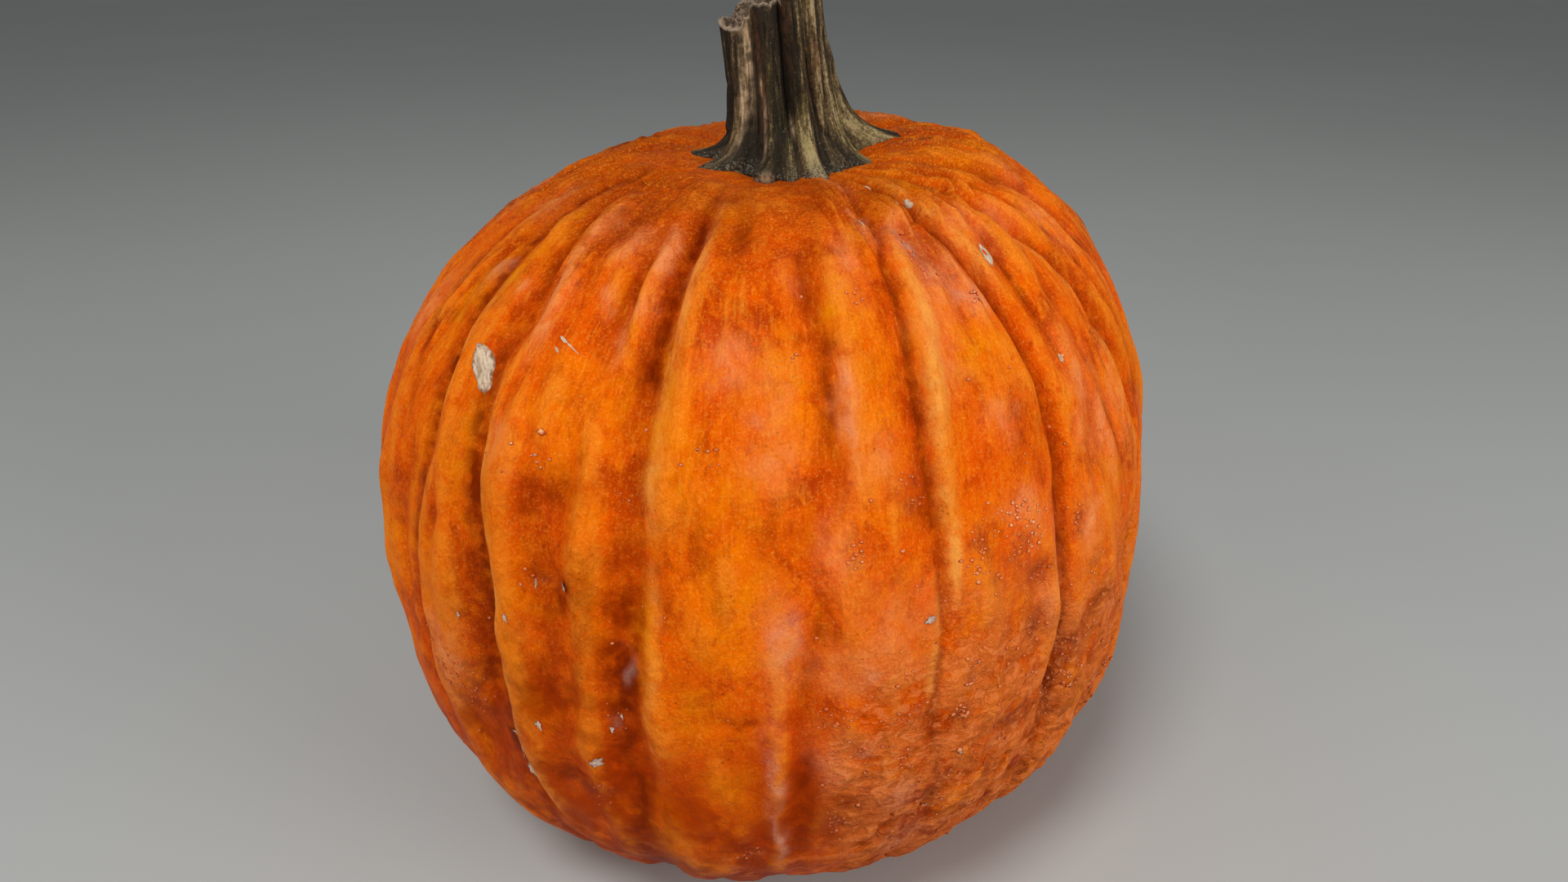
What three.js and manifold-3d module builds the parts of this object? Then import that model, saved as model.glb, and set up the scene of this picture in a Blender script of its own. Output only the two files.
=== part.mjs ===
// A pumpkin as picked: the ribbed fruit, and the dry woody stem that it was cut from the vine with.
//
// Units are millimetres, with +Z up. The origin is the middle of the small flat spot that the fruit rests on, so the
// plane z = 0 is the surface under it. Places on the fruit are given in degrees: longitude 0 faces -Y and 90 faces +X,
// and latitude runs from -90 at the blossom end, through 0 at the widest level, to 90 at the stem.

import * as THREE from "three";
import { mergeVertices } from "three/addons/utils/BufferGeometryUtils.js";
import Module from "manifold-3d";

const wasm = await Module();
wasm.setup();

const RAD = Math.PI / 180;

// ---------------------------------------------------------------------------------------------------------------
// Driving dimensions of the fruit
// ---------------------------------------------------------------------------------------------------------------

const HALF_WIDTH = 125.5; // from the fruit's middle line to the crest of a lobe, at the widest level
const WIDEST_LEVEL = 113.2; // height of the widest level above the resting plane
const CROWN_RISE = 116.5; // from the widest level to the top, before the stem's seat is pressed in
const CROWN_POWER = 2.17; // 2 is an ellipse, and more is a squarer shoulder
const BASE_DROP = 114.3; // from the widest level to the blossom end, before the flat spot is cut
const BASE_POWER = 2.8;
const SEAT_DEPTH = 16.5; // the dish that the stem stands in
const SEAT_RADIUS = 41;
const SEAT_X = 8.5; // the dish's middle, from the fruit's middle line
const SEAT_Y = -5;
const OVAL = 0.042; // share by which one diagonal of the fruit is wider than the mean
const CROWN_TILT = 0.085; // rise of the crown towards +X
const LEAN_X = -0.027; // sideways lean of the middle line, for each millimetre of height
const LEAN_Y = 0.049;

// The creases between the lobes. Each one runs from the blossom end to the stem along the longitude
// lon + drift * u + bow * u * u, where u is the latitude over 60 degrees. Its depth is top at the shoulder and foot
// below the widest level, in millimetres, and its width is in degrees of longitude.
const FRONT_CREASES = [
  { lon: -66, drift: 0, bow: -2, top: 2.6, foot: 3.0, width: 3.4 },
  { lon: -47, drift: -1.2, bow: -3, top: 4.2, foot: 3.4, width: 3.0 },
  { lon: -33.5, drift: -8, bow: 3, top: 4.0, foot: 4.6, width: 3.2 },
  { lon: -15.3, drift: 1, bow: 1.2, top: 5.4, foot: 5.0, width: 3.6 },
  { lon: 3.6, drift: 6, bow: 1.5, top: 2.0, foot: 2.4, width: 3.0 },
  { lon: 20.8, drift: 0.3, bow: 0, top: 4.4, foot: 2.4, width: 3.0 },
  { lon: 41.5, drift: 1, bow: -11, top: 4.6, foot: 3.0, width: 2.8 },
  { lon: 65.5, drift: 0, bow: -15, top: 4.4, foot: 3.0, width: 2.8 },
  { lon: 81, drift: 0, bow: -9, top: 3.6, foot: 3.0, width: 3.2 },
];
const BACK_CREASES = 11; // the rest, spread round the far side by backCrease()

// Short side creases that leave a lobe's face before they reach the blossom end.
const SIDE_CREASES = [
  { lon: 46.2, lat: 40, tilt: 0.13, tall: 13, depth: 2.2, width: 1.8 },
  { lon: -61, lat: 36, tilt: -0.45, tall: 13, depth: 1.8, width: 1.8 },
  { lon: -39.5, lat: 14, tilt: -0.5, tall: 8, depth: 1.2, width: 1.8 },
  { lon: 27, lat: 52, tilt: 0.1, tall: 9, depth: 1.5, width: 1.6 },
  { lon: 55, lat: 18, tilt: -0.3, tall: 9, depth: 1.2, width: 2.2 },
];

// Swells, with a positive height, and dents, with a negative one. wide and tall are half sizes in degrees.
const SWELLS = [
  { lon: -11.5, lat: 38, wide: 2.4, tall: 15, height: 1.6 },
  { lon: -13, lat: 0, wide: 2.0, tall: 14, height: 1.2 },
  { lon: -31.5, lat: 18, wide: 1.8, tall: 13, height: 1.5 },
  { lon: -30, lat: -12, wide: 1.8, tall: 10, height: 1.3 },
  { lon: -21, lat: 20, wide: 2.2, tall: 16, height: 1.4 },
  { lon: -19.5, lat: 47, wide: 1.6, tall: 7, height: 0.9 },
  { lon: 12, lat: 36, wide: 3.0, tall: 12, height: 1.5 },
  { lon: 23.6, lat: 34, wide: 2.0, tall: 13, height: 1.6 },
  { lon: 0.8, lat: -7, wide: 2.2, tall: 15, height: 1.6 },
  { lon: 38.8, lat: 0, wide: 2.0, tall: 9, height: 1.4 },
  { lon: 31, lat: 27, wide: 4.0, tall: 10, height: 1.2 },
  { lon: -22.5, lat: 44, wide: 2.2, tall: 6, height: -1.8 },
  { lon: -37.7, lat: 43, wide: 2.4, tall: 6, height: -2.0 },
  { lon: -14.4, lat: 42, wide: 2.6, tall: 8, height: -1.6 },
  { lon: 8, lat: 45, wide: 2.2, tall: 5, height: -1.6 },
  { lon: 7, lat: 29, wide: 1.8, tall: 8, height: -1.2 },
  { lon: -27, lat: 20, wide: 4.5, tall: 8, height: -1.6 },
  { lon: -26, lat: 11, wide: 3.5, tall: 5, height: -1.2 },
  { lon: -41, lat: -16, wide: 4.0, tall: 9, height: -2.2 },
  { lon: 36.3, lat: 6, wide: 2.6, tall: 4, height: -1.4 },
  { lon: -4.7, lat: 55, wide: 2.8, tall: 5, height: -1.0 },
  { lon: 5, lat: -6, wide: 2.2, tall: 6, height: -1.0 },
  { lon: -160, lat: 66, wide: 14, tall: 9, height: -1.3 },
];
const BACK_SWELLS = 26; // gentle swells and dents round the far side, spread by backSwell()

const LOBE_COLUMNS = 7; // columns of facets from one crease to the next
const FRUIT_ROWS = 32; // rows of facets from the blossom end to the stem

// ---------------------------------------------------------------------------------------------------------------
// Driving dimensions of the stem
// ---------------------------------------------------------------------------------------------------------------

const STEM_FOOT = new THREE.Vector3(2.8, 5.5, 212.2); // the middle of the seat
const STEM_HEIGHT = 66; // from the seat to the tip of the taller half
const STEM_LEAN_X = -0.14; // the trunk leans back over the fruit's middle as it rises
const STEM_LEAN_Y = 0.03;
const TRUNK_RADIUS = 12.2; // in the furrows
const STEM_TWIST = 0.2; // degrees for each millimetre of height
const FLUTES = 17; // the fine furrows that run up the trunk between and over the ribs
const FLUTE_HEIGHT = 0.55;
const STEM_COLUMNS = 96;
const STEM_ROWS = 22;
const STEM_ROOT = 12; // how far the raw column starts below the seat, before it is trimmed to the fruit
const SEAT_GAP = 0.3; // air left between the stem's underside and the fruit

// The ribs of the stem. Each one stands out from the trunk by its ridge, and runs out over the fruit in a toe. The toe
// reaches this far from the stem's middle, its tip is at this height above the seat, and fall is the height over which
// it draws in to the trunk.
const STEM_RIBS = [
  { lon: -146, wide: 15, ridge: 2.2, reach: 32, tip: 6.2, fall: 3.6 },
  { lon: -95, wide: 11, ridge: 2.4, reach: 36, tip: 4.6, fall: 3.0 },
  { lon: -56, wide: 15, ridge: 2.2, reach: 33, tip: 4.6, fall: 4.2 },
  { lon: -19, wide: 14, ridge: 2.0, reach: 30, tip: 5.4, fall: 4.2 },
  { lon: 15, wide: 14, ridge: 3.0, reach: 30, tip: 4.0, fall: 5.5 },
  { lon: 57, wide: 17, ridge: 2.4, reach: 27, tip: 5.6, fall: 5.5 },
  { lon: 117, wide: 12, ridge: 3.4, reach: 42.5, tip: 7.2, fall: 6.5 },
  { lon: 170, wide: 15, ridge: 2.2, reach: 33, tip: 7.2, fall: 3.8 },
];
const TOE_POWER = 1.35; // how sharply a toe draws in
const TOE_SQUARE = 2.6; // how blunt a toe's end is: 2 is a pointed bump
const APRON = 8.5; // how far the foot of the stem spreads even between two toes
const CREVICE = { lon: 2, depth: 4.4, width: 4.5 }; // the one deep split, between two ribs at the front

// The break: the half of the stem that faces this way ends low, on a splintered edge.
const BREAK_FACING = -71; // longitude that the broken face looks towards
const BREAK_OFFSET = 0.5; // from the stem's middle to the broken face

// ---------------------------------------------------------------------------------------------------------------
// Small helpers
// ---------------------------------------------------------------------------------------------------------------

const smoothstep = (from, to, x) => THREE.MathUtils.smoothstep(x, from, to);

// The difference between two longitudes, from -180 to 180.
const turn = (a, b) => THREE.MathUtils.euclideanModulo(a - b + 180, 360) - 180;

// A crease's section: 1 on its line, falling off to 0 within a few widths, with a softened tip.
function creaseSection(distance, width) {
  const tip = 0.35 * width;
  return Math.exp(-(Math.hypot(distance, tip) - tip) / width);
}

function solidFrom(geometry) {
  const bare = geometry.clone().deleteAttribute("normal").deleteAttribute("uv");
  const merged = mergeVertices(bare, 1e-4);
  return new wasm.Manifold(
    new wasm.Mesh({
      numProp: 3,
      vertProperties: merged.attributes.position.array,
      triVerts: new Uint32Array(merged.index.array),
    }),
  );
}

function geometryFrom(solid) {
  const mesh = solid.getMesh();
  const geometry = new THREE.BufferGeometry();
  geometry.setAttribute("position", new THREE.BufferAttribute(mesh.vertProperties, 3));
  geometry.setIndex(new THREE.BufferAttribute(mesh.triVerts, 1));
  geometry.computeVertexNormals();
  return geometry;
}

// A closed skin through rings of points, each ring the same length, with one point at each end.
function skinOf(bottom, rings, top) {
  const columns = rings[0].length;
  const points = [bottom, ...rings.flat(), top];
  const index = [];
  const at = (row, column) => 1 + row * columns + (column % columns);
  for (let c = 0; c < columns; c++) {
    index.push(0, at(0, c + 1), at(0, c));
    for (let r = 0; r + 1 < rings.length; r++) {
      index.push(at(r, c), at(r, c + 1), at(r + 1, c + 1));
      index.push(at(r, c), at(r + 1, c + 1), at(r + 1, c));
    }
    index.push(at(rings.length - 1, c), at(rings.length - 1, c + 1), points.length - 1);
  }
  const geometry = new THREE.BufferGeometry().setFromPoints(points);
  geometry.setIndex(index);
  return geometry;
}

// ---------------------------------------------------------------------------------------------------------------
// The fruit
// ---------------------------------------------------------------------------------------------------------------

// The creases of the far side are about 18 degrees apart, each a little off its even place.
function backCrease(k) {
  return {
    lon: 98 + 17.8 * k + 2.6 * Math.sin(2.1 * k + 0.4),
    drift: 2 * Math.sin(1.3 * k),
    bow: 3 * Math.sin(0.9 * k + 2),
    top: 3.7 + 1.1 * Math.sin(1.7 * k),
    foot: 3.2 + 0.9 * Math.sin(2.3 * k + 1),
    width: 3.2,
  };
}

// Swells and dents of the far side, by turns, spread by the golden section.
function backSwell(k) {
  const spread = (0.618034 * k) % 1;
  return {
    lon: 88 + 190 * spread,
    lat: -38 + 92 * ((0.754878 * k) % 1),
    wide: 2.4 + 1.6 * Math.abs(Math.sin(1.9 * k)),
    tall: 7 + 6 * Math.abs(Math.cos(1.3 * k)),
    height: k % 2 ? 1.4 : -1.5,
  };
}

const CREASES = [...FRONT_CREASES, ...Array.from({ length: BACK_CREASES }, (_, k) => backCrease(k))];
const ALL_SWELLS = [...SWELLS, ...Array.from({ length: BACK_SWELLS }, (_, k) => backSwell(k))];

function creaseLongitude(crease, lat) {
  const u = lat / 60;
  return crease.lon + crease.drift * u + crease.bow * u * u;
}

function creaseDepth(crease, lat) {
  const along = THREE.MathUtils.lerp(crease.foot, crease.top, smoothstep(-20, 45, lat));
  const blossomEnd = smoothstep(-74, -30, lat);
  const stemEnd = 1 - 0.62 * smoothstep(58, 86, lat);
  return along * blossomEnd * stemEnd;
}

// How far the skin stands off the plain body, in millimetres: down in the creases and dents, up on the swells.
function relief(lon, lat) {
  let height = 0;
  for (const crease of CREASES) {
    const away = turn(lon, creaseLongitude(crease, lat));
    height -= creaseDepth(crease, lat) * creaseSection(away, crease.width);
  }
  for (const side of SIDE_CREASES) {
    const rise = lat - side.lat;
    const away = turn(lon, side.lon + side.tilt * rise);
    height -= side.depth * creaseSection(away, side.width) * Math.exp(-((rise / side.tall) ** 2));
  }
  for (const swell of ALL_SWELLS) {
    const across = turn(lon, swell.lon) / swell.wide;
    const along = (lat - swell.lat) / swell.tall;
    height += swell.height * Math.exp(-across * across - along * along);
  }
  return height;
}

// The point of the skin at a longitude and latitude, moved out from the body's middle by an allowance.
function skinPoint(lon, lat, allowance = 0) {
  const c = Math.cos(lat * RAD);
  const s = Math.sin(lat * RAD);
  const power = s >= 0 ? CROWN_POWER : BASE_POWER;
  const reach = s >= 0 ? CROWN_RISE : BASE_DROP;
  const plain = ((c / HALF_WIDTH) ** power + (Math.abs(s) / reach) ** power) ** (-1 / power);
  const r = plain + relief(lon, lat) + allowance;
  const across = r * c * (1 - OVAL * Math.sin(2 * lon * RAD));
  const x = across * Math.sin(lon * RAD);
  const y = -across * Math.cos(lon * RAD);
  const fromSeat = Math.hypot(x - SEAT_X, y - SEAT_Y) / SEAT_RADIUS;
  let z = r * s - (s > 0 ? SEAT_DEPTH * Math.exp(-(fromSeat ** 2)) : 0);
  if (z > 0) z += CROWN_TILT * x * Math.min(z / 100, 1) ** 2;
  const height = z + WIDEST_LEVEL;
  return new THREE.Vector3(x + LEAN_X * height, y + LEAN_Y * height, height);
}

// Columns of facets follow the creases, so that each crease is one clean line of edges.
function longitudesAt(lat) {
  const lines = CREASES.map((crease) => creaseLongitude(crease, lat));
  return lines.flatMap((from, i) => {
    const to = i + 1 < lines.length ? lines[i + 1] : lines[0] + 360;
    return Array.from({ length: LOBE_COLUMNS }, (_, j) => THREE.MathUtils.lerp(from, to, j / LOBE_COLUMNS));
  });
}

function fruitSkin(allowance) {
  const latitudes = Array.from({ length: FRUIT_ROWS - 1 }, (_, i) => -90 + (180 * (i + 1)) / FRUIT_ROWS);
  const rings = latitudes.map((lat) => longitudesAt(lat).map((lon) => skinPoint(lon, lat, allowance)));
  return skinOf(skinPoint(0, -90, allowance), rings, skinPoint(0, 90, allowance));
}

function makeFruit() {
  const underneath = new THREE.BoxGeometry(4 * HALF_WIDTH, 4 * HALF_WIDTH, 60).translate(0, 0, -30);
  return solidFrom(fruitSkin(0)).subtract(solidFrom(underneath));
}

// ---------------------------------------------------------------------------------------------------------------
// The stem
// ---------------------------------------------------------------------------------------------------------------

// A rib's share at a longitude: 1 on its crest, 0 well away from it.
const ribShare = (rib, lon) => Math.exp(-(Math.abs(turn(lon, rib.lon) / rib.wide) ** TOE_SQUARE));

// What is left, at a height, of a flare that is whole below its tip: 1 there, and close to 0 up the trunk.
const flareLeft = (height, tip, fall) => (1 + Math.max(height - tip, 0) / fall) ** -TOE_POWER;

function stemRadius(lon, height) {
  let ridge = 0;
  let toe = APRON * flareLeft(height, 3.5, 4.5);
  for (const rib of STEM_RIBS) {
    const share = ribShare(rib, lon);
    const room = rib.reach - TRUNK_RADIUS - rib.ridge;
    ridge = Math.max(ridge, rib.ridge * share);
    toe = Math.max(toe, room * share * flareLeft(height, rib.tip, rib.fall));
  }
  const crevice = CREVICE.depth * creaseSection(turn(lon, CREVICE.lon), CREVICE.width);
  const flutes = FLUTE_HEIGHT * Math.cos((FLUTES * lon + 70 * Math.sin(3 * lon * RAD)) * RAD);
  return TRUNK_RADIUS + ridge + toe - crevice + flutes;
}

function stemPoint(lon, height, share = 1) {
  const r = share * stemRadius(lon, height);
  const turned = (lon + STEM_TWIST * Math.max(height, 0)) * RAD;
  return new THREE.Vector3(
    STEM_FOOT.x + STEM_LEAN_X * height + r * Math.sin(turned),
    STEM_FOOT.y + STEM_LEAN_Y * height - r * Math.cos(turned),
    STEM_FOOT.z + height,
  );
}

function stemColumn() {
  const longitudes = Array.from({ length: STEM_COLUMNS }, (_, i) => (360 * i) / STEM_COLUMNS - 180);
  // Rows are close together in the flare and spread out up the trunk.
  const heights = Array.from({ length: STEM_ROWS }, (_, i) => STEM_HEIGHT * (i / (STEM_ROWS - 1)) ** 1.7);
  const rings = [-STEM_ROOT, ...heights].map((height) => longitudes.map((lon) => stemPoint(lon, height)));
  return skinOf(stemPoint(0, -STEM_ROOT, 0), rings, stemPoint(0, STEM_HEIGHT, 0));
}

// The piece that is missing above the break. Its outline is drawn across the broken face: the first number runs along
// the face, from the back of the stem to the front, and the second is the height above the seat.
function missingHalf() {
  const outline = [
    [-22, 80],
    [-22, 40],
    [-12, 43],
    [-9, 46.5],
    [-3, 47.5],
    [-1, 45],
    [4, 47.5],
    [7, 46.5],
    [22, 47],
    [22, 80],
  ];
  const shape = new THREE.Shape(outline.map(([u, v]) => new THREE.Vector2(u, v)));
  const block = new THREE.ExtrudeGeometry(shape, { depth: 30, bevelEnabled: false });
  const outward = new THREE.Vector3(Math.sin(BREAK_FACING * RAD), -Math.cos(BREAK_FACING * RAD), 0);
  const up = new THREE.Vector3(0, 0, 1);
  const along = new THREE.Vector3().crossVectors(up, outward);
  const place = new THREE.Matrix4().makeBasis(along, up, outward);
  const middle = STEM_FOOT.clone().add(new THREE.Vector3(STEM_LEAN_X * 50, STEM_LEAN_Y * 50, 0));
  place.setPosition(middle.addScaledVector(outward, BREAK_OFFSET));
  return block.applyMatrix4(place);
}

// The outer left slab of the low half ends a few millimetres lower still.
function missingSplinter() {
  const block = new THREE.BoxGeometry(14, 30, 30).translate(-7, 0, 15).rotateY(-0.16).rotateZ(0.5);
  return block.translate(STEM_FOOT.x - 14.6, STEM_FOOT.y - 4, STEM_FOOT.z + 42.4);
}

// The tip of the taller half is a rough slanting cut.
function missingTip() {
  const block = new THREE.BoxGeometry(80, 80, 30).translate(0, 0, 15).rotateY(0.22).rotateX(-0.12);
  return block.translate(STEM_FOOT.x - 4, STEM_FOOT.y, STEM_FOOT.z + STEM_HEIGHT - 5);
}

function makeStem() {
  return solidFrom(stemColumn())
    .subtract(solidFrom(missingHalf()))
    .subtract(solidFrom(missingSplinter()))
    .subtract(solidFrom(missingTip()))
    .subtract(solidFrom(fruitSkin(SEAT_GAP)));
}

// ---------------------------------------------------------------------------------------------------------------
// The assembly
// ---------------------------------------------------------------------------------------------------------------

const rind = new THREE.MeshStandardMaterial({ color: 0xd9590c, roughness: 0.48, metalness: 0 });
const dryStem = new THREE.MeshStandardMaterial({ color: 0x5a4a2c, roughness: 0.85, metalness: 0 });

const fruit = new THREE.Mesh(geometryFrom(makeFruit()), rind);
fruit.name = "fruit";

const stem = new THREE.Mesh(geometryFrom(makeStem()), dryStem);
stem.name = "stem";

const pumpkin = new THREE.Group();
pumpkin.name = "pumpkin";
pumpkin.add(fruit, stem);

export default pumpkin;
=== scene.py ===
import math

import bpy
import numpy as np
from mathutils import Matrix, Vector


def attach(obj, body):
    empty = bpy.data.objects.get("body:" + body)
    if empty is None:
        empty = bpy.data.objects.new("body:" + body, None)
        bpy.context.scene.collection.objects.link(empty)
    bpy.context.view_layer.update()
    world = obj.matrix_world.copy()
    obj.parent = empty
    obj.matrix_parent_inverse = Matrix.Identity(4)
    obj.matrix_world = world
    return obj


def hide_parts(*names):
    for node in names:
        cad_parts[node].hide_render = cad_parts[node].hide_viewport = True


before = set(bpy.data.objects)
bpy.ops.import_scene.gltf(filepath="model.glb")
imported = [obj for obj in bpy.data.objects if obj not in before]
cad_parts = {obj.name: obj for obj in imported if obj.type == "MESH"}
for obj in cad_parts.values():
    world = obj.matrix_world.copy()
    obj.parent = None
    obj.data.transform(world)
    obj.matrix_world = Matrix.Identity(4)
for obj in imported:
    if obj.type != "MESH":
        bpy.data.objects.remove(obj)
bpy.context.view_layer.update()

# --------------------------------------------------------------------------------------------------
# The rind: the hard waxy skin of a ripe pumpkin, one closed ribbed skin from the blossom end to the stem.
# It grew in lobes between creases, over swollen and dented flesh. Places on it are in degrees: longitude 0
# faces -Y and 90 faces +X, latitude runs from -90 underneath to 90 at the stem. Lengths are millimetres.
# --------------------------------------------------------------------------------------------------

MM = 0.001
HALF_WIDTH = 125.5
WIDEST_LEVEL = 113.2
CROWN_RISE = 116.5
CROWN_POWER = 2.17
BASE_DROP = 114.3
BASE_POWER = 2.8
SEAT_DEPTH = 16.5
SEAT_RADIUS = 41
SEAT_AT = (8.5, -5)
OVAL = 0.042
CROWN_TILT = 0.085
LEAN = (-0.027, 0.049)
FLAT_SPOT_SOFTNESS = 0.5
BLOSSOM_SCAR_DEPTH = 2.4
BLOSSOM_SCAR_RADIUS = 6.5

# Each crease: its longitudes at LINE_LATS, depth at the shoulder and at the foot, width, and how sharp it
# is, from 0 for a soft valley to 1 for a thin line between flat lobes.
LINE_LATS = (-45, -20, -5, 10, 25, 40, 50, 60, 72)
FRONT_CREASES = [
    ((-62.0, -64.0, -65.5, -66.0, -66.5, -67.0, -66.0, -65.0, -60.0), 2.0, 2.8, 3.4, 0.25),
    ((-46.0, -49.0, -49.6, -49.5, -50.0, -51.8, -52.2, -54.0, -48.0), 3.8, 3.2, 2.9, 0.25),
    ((-31.0, -33.5, -35.2, -35.6, -37.4, -40.0, -41.4, -43.0, -40.0), 2.3, 5.0, 2.7, 0.35),
    ((-18.0, -15.4, -16.0, -14.6, -15.2, -15.2, -14.4, -13.3, -11.0), 5.0, 4.6, 3.3, 0.08),
    ((0.0, 1.8, 3.0, 4.8, 7.0, 8.8, 8.2, 9.5, 13.0), 1.9, 2.2, 2.8, 0.0),
    ((20.0, 20.7, 19.4, 21.4, 20.6, 21.5, 23.3, 25.2, 29.0), 2.9, 2.0, 1.9, 0.90),
    ((39.0, 40.7, 41.2, 41.1, 42.4, 40.4, 38.8, 35.8, 34.0), 3.9, 3.0, 2.0, 0.95),
    ((56.0, 61.0, 65.0, 68.0, 67.0, 62.0, 56.4, 50.0, 43.0), 4.4, 3.0, 2.4, 0.90),
    ((76.0, 79.0, 80.0, 81.0, 81.5, 80.5, 78.0, 72.0, 62.0), 3.6, 3.0, 3.0, 0.60),
    ((64.0, 69.0, 72.0, 74.0, 73.0, 69.0, 63.5, 57.0, 49.0), 1.8, 1.2, 1.8, 0.60),
]
BACK_CREASE_COUNT = 11
FAR_CREASES = range(len(FRONT_CREASES), len(FRONT_CREASES) + BACK_CREASE_COUNT)

# Short side creases: longitude, latitude, tilt, half height, depth, width.
SIDE_CREASES = [
    (47.0, 40, -0.08, 10, 2.2, 1.9),
    (-61, 36, -0.45, 13, 1.1, 1.6),
    (29.2, 49, -0.75, 5, 1.0, 1.2),
    (57, 18, -0.3, 9, 1.2, 2.2),
    (-68.5, 42, -0.1, 9, 1.0, 1.4),
]

# Swells and dents: longitude, latitude, half width, half height, and millimetres up or down.
SWELLS = [
    (-11.5, 38, 2.4, 15, 1.6),
    (-13, 0, 2.0, 14, 1.2),
    (-31.5, 18, 1.8, 13, 1.5),
    (-30, -12, 1.8, 10, 1.3),
    (-21, 20, 2.2, 16, 1.4),
    (-19.5, 47, 1.6, 7, 0.9),
    (12, 36, 3.0, 12, 1.5),
    (23.6, 34, 2.0, 13, 1.6),
    (0.8, -7, 2.2, 15, 1.6),
    (38.8, 0, 2.0, 9, 1.4),
    (31, 27, 4.0, 10, 1.2),
    (-22.5, 44, 2.2, 6, -1.8),
    (-37.7, 43, 2.4, 6, -2.0),
    (-14.4, 42, 2.6, 8, -1.6),
    (8, 45, 2.2, 5, -1.6),
    (7, 29, 1.8, 8, -1.2),
    (-27, 20, 4.5, 8, -1.6),
    (-26, 11, 3.5, 5, -1.2),
    (-41, -16, 4.0, 9, -2.2),
    (36.3, 6, 2.6, 4, -1.4),
    (-4.7, 55, 2.8, 5, -1.0),
    (5, -6, 2.2, 6, -1.0),
    (-160, 66, 14, 9, -1.3),
    (2, 74, 14, 6, -1.6),
    (-15.4, 25, 3.4, 8, 2.2),
]
BACK_SWELL_COUNT = 26
CALM_SHOULDER = (-86, 48, 17, 24, 0.5)

# Smaller rolls and dimples of the skin between the swells, in the same terms.
DIMPLES = [
    (-23.9, 23, 1.6, 2.4, -0.8),
    (-31.1, 18, 1.5, 2.2, -0.8),
    (-25.7, 12, 1.6, 2.0, -0.8),
    (-24.9, -14, 2.0, 3.0, -0.9),
    (36.3, 6, 1.2, 1.6, -0.8),
    (32.2, -12, 3.0, 1.6, -0.7),
    (9.6, 24, 1.2, 4.0, -0.7),
    (-15.4, 9, 1.6, 3.0, -0.6),
    (6.1, 9, 1.6, 3.0, -0.6),
    (1.1, 10, 1.4, 3.0, -0.5),
    (-3.0, -4, 4.0, 0.9, -1.0),
    (8.8, -9, 1.4, 1.4, -0.9),
    (27.4, 48, 1.2, 3.0, -0.7),
    (-9, 49, 2.0, 5.0, 0.7),
    (-11.3, 42, 1.6, 6.0, 0.6),
    (-34.1, 21, 1.4, 8.0, 0.7),
    (12.9, 40, 2.0, 6.0, 0.7),
    (11.2, 30, 1.4, 5.0, 0.9),
    (23.1, 37, 1.4, 8.0, 0.6),
    (22.9, 22, 1.2, 8.0, 0.7),
    (20.2, 8, 1.6, 5.0, 0.6),
    (38.9, 2, 1.4, 4.0, 0.7),
    (-21.4, 27, 1.3, 4.0, 0.7),
    (-21.2, 17, 1.3, 5.0, 0.7),
    (-21, -1, 1.4, 4.0, 0.7),
    (-14.4, -3, 1.3, 6.0, 0.6),
    (-19.5, 45, 1.0, 3.5, 0.9),
    (-30.6, 39, 2.0, 4.0, 0.6),
    (-41.7, 14, 1.3, 6.0, 0.6),
    (-44.5, 7, 1.4, 5.0, 0.6),
    (-25, 50, 1.2, 5.0, 0.6),
    (-28, 36, 3.0, 5.0, 0.5),
    (50, 12, 2.2, 6.0, 0.7),
    (57, 30, 2.0, 8.0, 0.6),
    (92, -5, 9.0, 18.0, -2.0),
    (-89, 3, 8.0, 14.0, -1.0),
    (-4, -9, 8.0, 14.0, -1.7),
    (175, 5, 8.0, 12.0, -0.95),
]

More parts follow.
